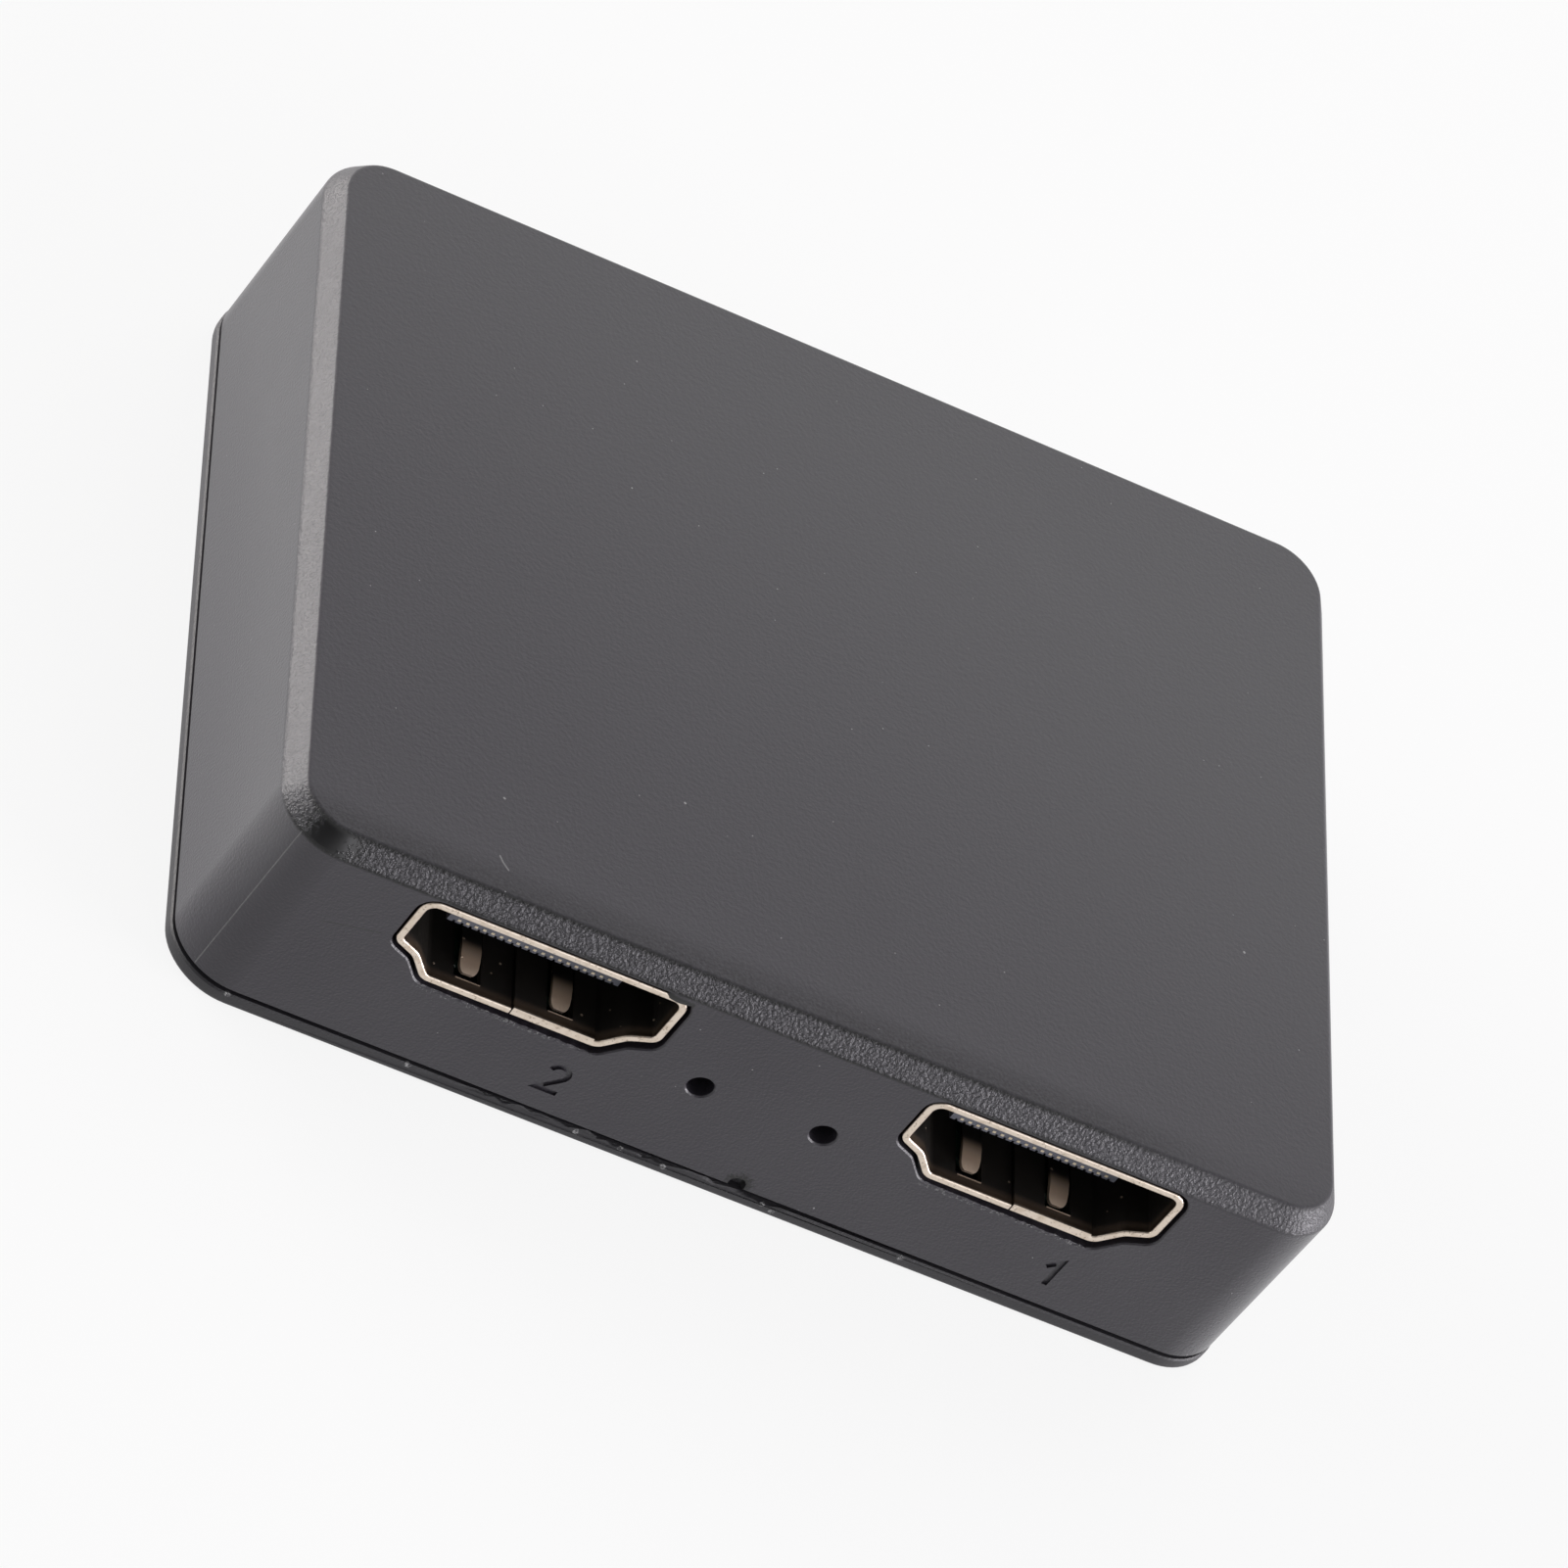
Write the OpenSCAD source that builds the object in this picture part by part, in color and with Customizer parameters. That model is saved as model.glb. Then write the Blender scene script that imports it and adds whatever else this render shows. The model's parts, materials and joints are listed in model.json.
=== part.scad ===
// Two-way video splitter: a snap-together case round a circuit board with its sockets.
// Millimetres, +Z up. The origin is under the middle of the case, on the surface it stands on.
// The two outputs face -Y, the input and the power socket face +Y.

/* [Housing] */
// Thickness of the side walls
wall_t = 1.6; // [1.2:0.1:2.2]
// Thickness of the roof
roof_t = 1.2; // [0.9:0.1:2.4]
// Radius of the upright corners
corner_r = 3.5; // [2.6:0.1:6]
// Height of the bevel round the roof
bevel_h = 1.2; // [0.4:0.1:2]
// How far that bevel comes in
bevel_in = 0.85; // [0.3:0.05:1.4]
// Room between the socket shells and the roof
roof_room = 0.3; // [0.2:0.05:2]
// Gap between a socket and its opening in the wall
opening_gap = 0.25; // [0.1:0.05:0.25]
// Depth of the board's middle area, between the front and the back sockets
parts_d = 22.4; // [21:0.2:40]

/* [Bottom cover] */
// Height of the cover's visible edge
edge_h = 0.95; // [0.6:0.05:1.2]
// How far that edge stands out past the walls
edge_out = 0.05; // [0.02:0.01:0.3]
// Bevel under that edge
edge_bevel = 0.3; // [0.1:0.05:0.5]
// Height of the parting groove
groove_h = 0.15; // [0.1:0.05:0.3]
// Depth of the parting groove
groove_d = 0.6; // [0.2:0.1:1]
// How far the cover's floor rises inside the walls
plug_h = 0.5; // [0.3:0.1:1.5]
// Gap between the cover and the inside of the walls
cover_fit = 0.15; // [0.05:0.05:0.3]
// Thickness of the cover's locating lip and hooks
lip_t = 1; // [0.8:0.1:1.6]
// Height of the lip above the floor
lip_h = 1; // [0.5:0.1:2]
// Width of a snap hook
hook_w = 4; // [2:0.5:6]
// Room between a snap hook and the board
hook_room = 0.65; // [0.45:0.05:1]
// How far a hook's barb reaches past its arm
barb_out = 0.5; // [0.3:0.05:0.7]
// Distance of a snap hook from the boss beside it
hook_in = 1.5; // [0.5:0.1:3]
// Diameter of the posts that back the board
post_d = 3; // [2:0.5:5]

/* [Circuit board] */
// Thickness of the board
board_t = 1.6; // [1:0.2:2]
// Space between the cover's floor and the board
under_board = 3.45; // [3.2:0.05:8]
// Gap between the board's edge and the walls
board_gap = 0.5; // [0.3:0.1:1]

/* [Board screws] */
// Thread diameter of a screw
screw_d = 2; // [1.6:0.1:2.6]
// Pitch of the thread
thread_pitch = 0.6; // [0.4:0.1:0.8]
// Depth of the thread
thread_depth = 0.25; // [0.1:0.05:0.35]
// Diameter of a screw's head
head_d = 3.6; // [3:0.1:4.6]
// Height of a screw's head
head_h = 1.3; // [0.8:0.1:1.6]
// How far a screw goes into its boss
screw_reach = 4; // [2:0.5:5]
// Play between a thread and its boss
screw_play = 0.03; // [0.01:0.01:0.1]
// Diameter of a boss
boss_d = 5; // [4:0.1:7]
// Room between a boss and the socket beside it
boss_room = 0.85; // [0.6:0.05:4]
// Room between a boss and the walls
boss_wall_room = 0.9; // [0.6:0.1:3]

/* [Video sockets] */
// Distance between the two outputs
socket_pitch = 28.5; // [26:0.5:40]
// Place of the input along the back wall
input_x = -8; // [-8.5:0.5:-6]
// Width of a socket's mouth
mouth_w = 14; // [13.5:0.1:14.5]
// Height of a socket's mouth
mouth_h = 4.55; // [4.3:0.05:5]
// Width of the mouth's floor
mouth_floor_w = 9.5; // [8:0.1:10.5]
// Height where the mouth's sides turn in
mouth_turn_h = 1.75; // [1.5:0.05:2.2]
// Height of the knee between the side and the floor
mouth_knee_h = 1.2; // [0.8:0.05:1.3]
// How far the knee lies in from the side
mouth_knee_in = 1.2; // [0.8:0.05:1.5]
// Thickness of a shell's sheet metal
shell_t = 0.4; // [0.25:0.05:0.45]
// Length of a shell from its mouth
shell_d = 11.2; // [10.5:0.1:14]
// Width of the tongue beside its outer contacts
tongue_side = 0.35; // [0.2:0.05:0.8]
// Thickness of the tongue
tongue_t = 1.1; // [0.8:0.05:1.3]
// How far the tongue stands back from the mouth
tongue_back = 2.1; // [1:0.1:3]
// Length of the insulator's block behind the tongue
block_d = 2.8; // [2:0.1:4]
// Gap between an insulator and its shell
block_fit = 0.05; // [0.02:0.01:0.1]
// Contacts in the upper row, with one fewer in the lower row
contact_n = 10; // [6:1:10]
// Distance between contacts in a row
contact_pitch = 1; // [0.9:0.05:1]
// Width of a contact
contact_w = 0.3; // [0.2:0.02:0.36]
// Thickness of a contact
contact_t = 0.15; // [0.1:0.01:0.2]
// Play between a contact and its slot
contact_play = 0.02; // [0.01:0.01:0.04]
// Room on the board behind a shell for its contact tails
tail_room = 1.4; // [1.2:0.1:3]
// Distance of a spring finger from the socket's middle
spring_x = 2.55; // [2:0.05:3]
// Width of a spring finger
spring_w = 1.1; // [0.8:0.05:1.3]
// How far a spring finger rises above the mouth's floor
spring_rise = 0.35; // [0.1:0.05:0.6]
// Distance of a finger's window from the mouth
window_front = 0.7; // [0.4:0.1:1.5]
// Length of that window
window_d = 6; // [4:0.5:7]
// Gap round the finger in its window
window_gap = 0.2; // [0.1:0.05:0.3]
// Width of the folded seam in a shell's floor
seam_w = 0.08; // [0.04:0.02:0.2]
// Width of a shell's leg
leg_w = 1.4; // [1:0.1:2]
// How far a leg stands out under the board
leg_out = 0.4; // [0.2:0.1:1]
// Play round a leg in its slot
leg_play = 0.2; // [0.1:0.05:0.3]

/* [Power socket] */
// Place of the power socket along the back wall
power_x = 12; // [10:0.5:16]
// Width of its mouth
power_mouth_w = 6.9; // [6.5:0.1:7.5]
// Height of its mouth
power_mouth_h = 1.95; // [1.8:0.05:2.4]
// Width of its mouth's floor
power_floor_w = 5.3; // [4.8:0.1:6]
// Thickness of its sheet metal
power_t = 0.3; // [0.2:0.05:0.4]
// Length of its shell
power_d = 5.2; // [4.5:0.1:7]
// Width of its tongue beside the outer contacts
power_tongue_side = 0.4; // [0.2:0.05:0.6]
// Thickness of its tongue
power_tongue_t = 0.6; // [0.5:0.05:0.8]
// How far its tongue stands back from the mouth
power_tongue_back = 0.8; // [0.4:0.1:1.5]
// Length of its insulator's block
power_block_d = 1.6; // [1:0.1:2.5]
// Number of its contacts
power_contact_n = 5; // [3:1:5]
// Distance between its contacts
power_contact_pitch = 0.65; // [0.6:0.01:0.7]

/* [Indicator lights] */
// Distance between the two light holes
light_pitch = 7; // [4:0.5:8]
// Diameter of a light hole
light_hole_d = 1.4; // [0.8:0.1:1.8]
// Width of a light
light_w = 1.6; // [1:0.1:2]
// Depth of a light
light_d = 0.9; // [0.6:0.1:1.4]
// Height of a light
light_h = 0.5; // [0.4:0.05:1.2]
// Distance of a light from the board's front edge
light_in = 0.2; // [0:0.1:1]

/* [Numerals] */
// Height of the engraved numerals
numeral_h = 2.1; // [1:0.1:3]
// Width of a stroke
stroke_w = 0.22; // [0.15:0.01:0.4]
// Depth of the engraving
engrave_d = 0.12; // [0.05:0.01:0.4]
// Distance of a numeral from the middle of its socket
numeral_x = 4.3; // [0:0.1:6]
// Height of a numeral's middle above the surface
numeral_z = 3.6; // [2.8:0.1:4.2]

/* [Chips] */
// Side of the splitter chip's package
chip_w = 10; // [8:0.5:10]
// Height of the splitter chip's package
chip_h = 1.4; // [1:0.1:2]
// Leads on each side of the splitter chip
chip_lead_n = 16; // [8:1:16]
// Distance between those leads
chip_lead_pitch = 0.5; // [0.4:0.05:0.5]
// Length of the memory chip's package
memory_l = 4.9; // [4:0.1:5.2]
// Width of the memory chip's package
memory_w = 3.9; // [3:0.1:4.2]
// Length of the linear regulator's package
regulator_l = 6.5; // [6:0.1:6.6]
// Width of the linear regulator's package
regulator_w = 3.5; // [3:0.1:3.8]
// Length of a small transistor's package
transistor_l = 2.9; // [2.6:0.1:3]
// Width of a small transistor's package
transistor_w = 1.3; // [1.2:0.1:1.6]
// Length of the crystal's can
crystal_l = 5; // [3.2:0.1:5.2]
// Width of the crystal's can
crystal_w = 3.2; // [2.5:0.1:3.4]
// Side of the power inductor
inductor_w = 4; // [3:0.1:4.4]
// Height of the power inductor
inductor_h = 2; // [1:0.1:2.4]
// Length of a bulk capacitor
bulk_l = 3.5; // [3:0.1:3.8]
// Length of the protection diode
diode_l = 4.4; // [4:0.1:4.6]
// Length of a small chip part
small_l = 1.6; // [1:0.1:1.7]
// Width of a small chip part
small_w = 0.8; // [0.5:0.05:0.9]

/* [Hidden] */
$fn = 48;
cut = 0.01;

// Heights, from the cover up
wall_z = edge_h + groove_h;
floor_t = wall_z + plug_h;
board_z = floor_t + under_board;
board_top = board_z + board_t;
shell_w = mouth_w + 2 * shell_t;
shell_h = mouth_h + 2 * shell_t;
roof_z = board_top + shell_h + roof_room;
case_h = roof_z + roof_t;

// Plan of the case
boss_x = (socket_pitch + shell_w + boss_d) / 2 + boss_room;
case_w = 2 * (boss_x + boss_d / 2 + boss_wall_room + wall_t);
case_d = 2 * (shell_d + tail_room) + parts_d;
boss_y = case_d / 2 - wall_t - boss_wall_room - boss_d / 2;
inner_w = case_w - 2 * wall_t;
inner_d = case_d - 2 * wall_t;
inner_r = corner_r - wall_t;
plug_r = inner_r - cover_fit;
board_w = inner_w - 2 * board_gap;
board_d = inner_d - 2 * board_gap;
board_r = max(0.3, inner_r - board_gap);
board_hole_d = screw_d + 0.4;

// Snap hooks
arm_top = board_z - hook_room;
barb_h = 1;
barb_z = arm_top - barb_h;
catch_room = 0.15;
hook_from_boss = boss_d / 2 + hook_w / 2 + hook_in;
hook_x = boss_x - hook_from_boss;
hook_y = boss_y - hook_from_boss;

// Sockets
socket_x = [socket_pitch / 2, -socket_pitch / 2];
leg_edge = 0.4;
leg_back = 2.6;
leg_y = [wall_t + board_gap + leg_edge + leg_play + leg_w / 2, shell_d - leg_back];
leg_hold = 1;
tail_gap = 0.15;
tail_foot = 0.9;
tongue_w = (contact_n - 1) * contact_pitch + contact_w + 2 * tongue_side;
tongue_z = shell_t + (mouth_h - tongue_t) / 2;
tongue_top = tongue_z + tongue_t;
finger_t = shell_t * 0.75;
finger_crest = 1.3;
finger_root = 0.2;
power_w = power_mouth_w + 2 * power_t;
power_h = power_mouth_h + 2 * power_t;
power_leg_y = [leg_y[0]];
power_tongue_w = (power_contact_n - 1) * power_contact_pitch + contact_w + 2 * power_tongue_side;
power_tongue_z = power_t + (power_mouth_h - power_tongue_t) / 2;

// Posts stand under the middle of each socket, where a plug pushes
post_y = case_d / 2 - wall_t - shell_d / 2;
post_places = [
    [socket_x[0], -post_y], [socket_x[1], -post_y], [input_x, post_y], [power_x, post_y]
];

// Packages: heights, lead pitches and lead widths
lead_t = 0.15;
lead_reach = 1;
lead_grip = 0.3;
lead_rise = 0.45;
package_lift = 0.1;
dot_d = 0.5;
chip_lead_w = chip_lead_pitch * 0.44;
memory_h = 1.5;
memory_lead = [1.27, 0.42];
transistor_h = 1;
transistor_lead = [0.95, 0.35];
regulator_h = 1.6;
regulator_lead = [2.3, 0.7];
regulator_tab_w = regulator_l * 0.46;
capacitor_h = 0.8;
resistor_h = 0.45;
bulk_size = [bulk_l, 2.8, 1.9];
diode_size = [diode_l, 2.6, 2.1];
bead_size = [2, 1.25, 0.9];
fuse_size = [3.2, 1.6, 0.7];
array_size = [2.5, 1.1, 0.55];

// Lights and places on the board, each set beside the part before it
part_gap = 0.7;
light_x = [light_pitch / 2, -light_pitch / 2];
light_y = -board_d / 2 + light_in;
light_resistor_y = light_y + light_d + 3 * part_gap;
row_in = 2.2;
row_y = parts_d / 2 - row_in;
array_x = 2.6;
fuse_x = -array_x - array_size.x / 2 - fuse_size.x / 2 - part_gap;
ring_room = 1.2;
ring_y = chip_w / 2 + lead_reach + ring_room + small_w / 2;
ring_pitch = 3;
ring_edge = ring_y + small_w / 2;
resistor_pitch = 2.1;
resistor_n = 5;
resistor_half = resistor_pitch * (resistor_n - 1) / 2 + small_l / 2;
resistor_rows = [5.2, -5.2];
memory_x = -ring_edge - part_gap - max(memory_l / 2, resistor_half);
transistor_x = memory_x - resistor_half - part_gap - lead_reach - transistor_w / 2;
transistor_pitch = 3;
crystal_at = [ring_edge + part_gap + crystal_l / 2, 4.4];
regulator_at = [crystal_at.x + (crystal_l + regulator_l) / 2 + 2 * part_gap, 1.4];
converter_at = [crystal_at.x + 1.2, -4];
inductor_at = [regulator_at.x, -5];
bulk_x = regulator_at.x + (regulator_l + bulk_l) / 2 + part_gap;
bulk_y = [2.6, -2.8];
inlet_room = 5.2;
inlet_y = case_d / 2 - power_d - inlet_room;
bead_x = power_x + diode_l / 2 + bead_size.x / 2 + 4 * part_gap;
loose_capacitors = [
    [converter_at.x, 0], [bulk_x, 7.2], [regulator_at.x + small_l, 7.2],
    [transistor_x - 4 * part_gap, 6], [transistor_x - 4 * part_gap, -6]
];

// Outlines
function unit(v) = v / norm(v);
function normal(a, b) = unit([b.y - a.y, a.x - b.x]);

// An outline moved outwards by d, for points that run anticlockwise
function outset(points, d) = let (n = len(points)) [
    for (i = [0 : n - 1])
        let (
            before = normal(points[(i + n - 1) % n], points[i]),
            after = normal(points[i], points[(i + 1) % n])
        )
        points[i] + d * (before + after) / (1 + before * after)
];

// An outline with each corner rounded by its own radius
function rounded(points, radii, steps = 5) = let (n = len(points)) [
    for (i = [0 : n - 1])
        let (
            p = points[i],
            u = unit(points[(i + n - 1) % n] - p),
            v = unit(points[(i + 1) % n] - p),
            half = acos(u * v) / 2,
            middle = p + unit(u + v) * radii[i] / sin(half),
            from = p + u * radii[i] / tan(half) - middle,
            to = p + v * radii[i] / tan(half) - middle,
            start = atan2(from.y, from.x),
            sweep = (atan2(to.y, to.x) - start + 540) % 360 - 180
        )
        for (k = [0 : steps])
            middle + radii[i] * [cos(start + sweep * k / steps), sin(start + sweep * k / steps)]
];

// The mouth of a video socket: wide above, with a knee on each side of its narrower floor
video_mouth = [
    [mouth_floor_w / 2, shell_t],
    [mouth_w / 2 - mouth_knee_in, shell_t + mouth_knee_h],
    [mouth_w / 2, shell_t + mouth_turn_h],
    [mouth_w / 2, shell_t + mouth_h],
    [-mouth_w / 2, shell_t + mouth_h],
    [-mouth_w / 2, shell_t + mouth_turn_h],
    [-mouth_w / 2 + mouth_knee_in, shell_t + mouth_knee_h],
    [-mouth_floor_w / 2, shell_t]
];
video_corners = [0.4, -0.75, 0.3, 0.3, 0.3, 0.3, -0.75, 0.4];

// The mouth of the power socket: a slot with slanted lower corners
power_mouth = [
    [power_floor_w / 2, power_t],
    [power_mouth_w / 2, power_t + power_mouth_h / 2],
    [power_mouth_w / 2, power_t + power_mouth_h],
    [-power_mouth_w / 2, power_t + power_mouth_h],
    [-power_mouth_w / 2, power_t + power_mouth_h / 2],
    [-power_floor_w / 2, power_t]
];
power_corners = [0.3, 0.3, 0.25, 0.25, 0.3, 0.3];

// A rounded mouth moved outwards by d: hollow corners, given as negative radii, get tighter
function mouth_at(mouth, corners, d) =
    rounded(outset(mouth, d), [for (r = corners) max(0.05, abs(r + d))]);

// Building blocks
module along_y(depth) {
    translate([0, depth, 0])
        rotate([90, 0, 0])
            linear_extrude(depth)
                children();
}

module across_x(width) {
    translate([-width / 2, 0, 0])
        rotate([90, 0, 90])
            linear_extrude(width)
                children();
}

module on_board(at = [0, 0], turn = 0) {
    translate([at.x, at.y, board_top])
        rotate(turn)
            children();
}

module at_front(x) {
    translate([x, -case_d / 2, board_top])
        children();
}

module at_back(x) {
    translate([x, case_d / 2, board_top])
        rotate(180)
            children();
}

module middle_box(size) {
    translate([-size.x / 2, -size.y / 2, 0])
        cube(size);
}

module corner_places(x, y) {
    for (sx = [1, -1])
        for (sy = [1, -1])
            translate([sx * x, sy * y, 0])
                children();
}

module round_box(w, d, r, h) {
    middle_box([w - 2 * r, d, h]);
    middle_box([w, d - 2 * r, h]);
    corner_places(w / 2 - r, d / 2 - r)
        cylinder(r = r, h = h);
}

module round_at(z0, z1, w, d, r) {
    translate([0, 0, z0])
        round_box(w, d, r, z1 - z0);
}

// A round-cornered slab whose sides lean in by inset over its height
module leaning_box(w, d, r, h, inset) {
    across_x(w - 2 * r)
        polygon([[-d / 2, 0], [d / 2, 0], [d / 2 - inset, h], [inset - d / 2, h]]);
    translate([0, r - d / 2, 0])
        along_y(d - 2 * r)
            polygon([[-w / 2, 0], [w / 2, 0], [w / 2 - inset, h], [inset - w / 2, h]]);
    corner_places(w / 2 - r, d / 2 - r)
        cylinder(r1 = r, r2 = r - inset, h = h);
}

// Engraved numerals, standing in the XY plane with their middle at the origin
module numeral_one() {
    top = numeral_h / 2;
    flag = numeral_h * 0.3;
    stem = flag / 2 - stroke_w;
    translate([stem, -top])
        square([stroke_w, numeral_h]);
    polygon([
        [stem + stroke_w, top],
        [stem, top],
        [stem - flag, top - flag + stroke_w],
        [stem - flag, top - flag - stroke_w / 2],
        [stem, top - 1.6 * stroke_w]
    ]);
}

// A round bowl that ends in a slanted tail and a straight foot
module numeral_two() {
    r = numeral_h * 0.29;
    bowl = numeral_h / 2 - r;
    foot = -numeral_h / 2;
    tail = 40;
    out = [sin(tail), -cos(tail)];
    translate([0, bowl])
        difference() {
            circle(r = r);
            circle(r = r - stroke_w);
            polygon([[0, 0], [-2 * r, r / 3], [-2 * r, -2 * r], [out.x * r, -2 * r], 2 * r * out]);
        }
    polygon([
        [0, bowl] + r * out,
        [0, bowl] + (r - stroke_w) * out,
        [-r, foot + stroke_w],
        [-r, foot],
        [stroke_w - r, foot]
    ]);
    translate([-r, foot])
        square([2 * r, stroke_w]);
}

module engraved(x) {
    translate([x, -case_d / 2 - cut, numeral_z])
        along_y(engrave_d + cut)
            children();
}

// Case
module case_body() {
    translate([0, 0, wall_z])
        round_box(case_w, case_d, corner_r, case_h - bevel_h - wall_z);
    translate([0, 0, case_h - bevel_h])
        leaning_box(case_w, case_d, corner_r, bevel_h, bevel_in);
}

// A back opening: open at the wall's lower edge, so that the board can swing in
module back_notch(x, w, h) {
    at_back(x)
        translate([0, wall_t / 2, wall_z - board_top - cut])
            middle_box([
                w + 2 * opening_gap, wall_t + 2 * cut, h + opening_gap + board_top - wall_z + cut
            ]);
}

module hook_places() {
    for (x = [hook_x, -hook_x])
        translate([x, -inner_d / 2, 0])
            rotate(180)
                children();
    for (y = [hook_y, -hook_y]) {
        translate([inner_w / 2, y, 0])
            rotate(-90)
                children();
        translate([-inner_w / 2, y, 0])
            rotate(90)
                children();
    }
}

module hook_catch() {
    depth = barb_out - cover_fit + catch_room;
    translate([-hook_w / 2 - catch_room, -cut, barb_z - catch_room])
        cube([hook_w + 2 * catch_room, depth + cut, barb_h + 2 * catch_room]);
}

module upper_housing() {
    color([0.2, 0.2, 0.21])
        difference() {
            union() {
                difference() {
                    case_body();
                    translate([0, 0, wall_z - cut])
                        round_box(inner_w, inner_d, inner_r, roof_z - wall_z + cut);
                }
                corner_places(boss_x, boss_y)
                    translate([0, 0, board_top])
                        cylinder(d = boss_d, h = roof_z + cut - board_top);
            }
            for (x = socket_x)
                at_front(x)
                    translate([0, -cut, 0])
                        along_y(wall_t + 2 * cut)
                            polygon(mouth_at(video_mouth, video_corners, shell_t + opening_gap));
            for (x = light_x)
                translate([x, -case_d / 2 - cut, board_top + light_h / 2])
                    rotate([-90, 0, 0])
                        cylinder(d = light_hole_d, h = wall_t + 2 * cut);
            back_notch(input_x, shell_w, shell_h);
            back_notch(power_x, power_w, power_h);
            hook_places()
                hook_catch();
            corner_places(boss_x, boss_y)
                translate([0, 0, board_top - cut])
                    cylinder(d = screw_d + 2 * screw_play, h = screw_reach + screw_d / 2 + cut);
            engraved(socket_x[0] + numeral_x)
                numeral_one();
            engraved(socket_x[1] + numeral_x)
                numeral_two();
        }
}

// A tab that closes the lower part of a back opening, flush with the wall
module back_tab(x, w) {
    tab_w = w + 2 * opening_gap - 2 * catch_room;
    translate([x, case_d / 2 - wall_t / 2, edge_h])
        middle_box([tab_w, wall_t, board_top - opening_gap - edge_h]);
}

module snap_hook() {
    translate([-hook_w / 2, -cover_fit - lip_t, floor_t - cut])
        cube([hook_w, lip_t, arm_top - floor_t + cut]);
    translate([0, -cover_fit, 0])
        across_x(hook_w)
            polygon([
                [-cut, barb_z], [barb_out, barb_z], [barb_out, barb_z + barb_h / 4], [-cut, arm_top]
            ]);
}

module bottom_cover() {
    flange_w = case_w + 2 * edge_out;
    flange_d = case_d + 2 * edge_out;
    plug_w = inner_w - 2 * cover_fit;
    plug_d = inner_d - 2 * cover_fit;
    color([0.19, 0.19, 0.2]) {
        translate([0, 0, edge_bevel])
            mirror([0, 0, 1])
                leaning_box(flange_w, flange_d, corner_r + edge_out, edge_bevel, edge_bevel);
        translate([0, 0, edge_bevel])
            round_box(flange_w, flange_d, corner_r + edge_out, edge_h - edge_bevel);
        round_at(edge_h - cut, wall_z, case_w - 2 * groove_d, case_d - 2 * groove_d, corner_r - groove_d);
        round_at(wall_z - cut, floor_t, plug_w, plug_d, plug_r);
        difference() {
            round_at(floor_t - cut, floor_t + lip_h, plug_w, plug_d, plug_r);
            translate([0, 0, floor_t])
                round_box(plug_w - 2 * lip_t, plug_d - 2 * lip_t, max(0.3, plug_r - lip_t), lip_h + cut);
        }
        hook_places()
            snap_hook();
        back_tab(input_x, shell_w);
        back_tab(power_x, power_w);
        for (at = post_places)
            translate([at.x, at.y, floor_t - cut])
                cylinder(d = post_d, h = under_board + cut);
    }
}

// Self-tapping screws, driven from below through the board into the bosses
module board_screw() {
    core = screw_d / 2 - thread_depth;
    length = board_t + screw_reach;
    turns = floor((length - core) / thread_pitch);
    groove = [[core, 0.05], [screw_d / 2, 0.5], [core, 0.95]];
    slot = head_d * 0.16;
    difference() {
        union() {
            translate([0, 0, -head_h])
                cylinder(d1 = head_d * 0.82, d2 = head_d, h = head_h / 3);
            translate([0, 0, -head_h * 2 / 3])
                cylinder(d = head_d, h = head_h * 2 / 3);
            rotate_extrude()
                polygon(concat(
                    [[0, -cut], [core, -cut]],
                    [
                        for (k = [0 : turns - 1])
                            for (p = groove)
                                [p.x, (k + p.y) * thread_pitch]
                    ],
                    [[core, length - core], [0, length]]
                ));
        }
        for (turn = [0, 90])
            rotate(turn)
                translate([0, 0, -head_h - cut])
                    middle_box([head_d * 0.55, slot, head_h * 0.6]);
    }
}

module board_screws() {
    color([0.62, 0.62, 0.64])
        corner_places(boss_x, boss_y)
            translate([0, 0, board_z])
                board_screw();
}

// Circuit board, with the holes for its screws and slots for the sockets' legs
module leg_slots(w, t, places) {
    for (side = [1, -1])
        for (y = places)
            translate([side * (w - t) / 2, y, -board_t - cut])
                middle_box([t + 2 * leg_play, leg_w + 2 * leg_play, board_t + 2 * cut]);
}

module circuit_board() {
    color([0.08, 0.3, 0.16])
        difference() {
            round_at(board_z, board_top, board_w, board_d, board_r);
            corner_places(boss_x, boss_y)
                translate([0, 0, board_z - cut])
                    cylinder(d = board_hole_d, h = board_t + 2 * cut);
            for (x = socket_x)
                at_front(x)
                    leg_slots(shell_w, shell_t, leg_y);
            at_back(input_x)
                leg_slots(shell_w, shell_t, leg_y);
            at_back(power_x)
                leg_slots(power_w, power_t, power_leg_y);
        }
}

// Sockets, each with its mouth in the XZ plane at y = 0 and its floor on the board
module shell_tube(mouth, corners, t, depth) {
    along_y(depth)
        difference() {
            polygon(mouth_at(mouth, corners, t));
            polygon(mouth_at(mouth, corners, 0));
        }
}

module shell_legs(w, t, h, places) {
    top = h - leg_hold;
    foot = -board_t - leg_out;
    for (side = [1, -1])
        for (y = places)
            translate([side * (w - t) / 2, y, foot])
                middle_box([t, leg_w, top - foot]);
}

module spring_finger() {
    tip = window_front + window_gap;
    back = window_front + window_d;
    crest = tip + finger_crest;
    root = back + finger_root;
    high = shell_t + spring_rise;
    across_x(spring_w)
        polygon([
            [root, 0], [back, 0], [crest, high - finger_t], [tip, shell_t - finger_t],
            [tip, shell_t], [crest, high], [back, shell_t], [root, shell_t]
        ]);
}

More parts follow.
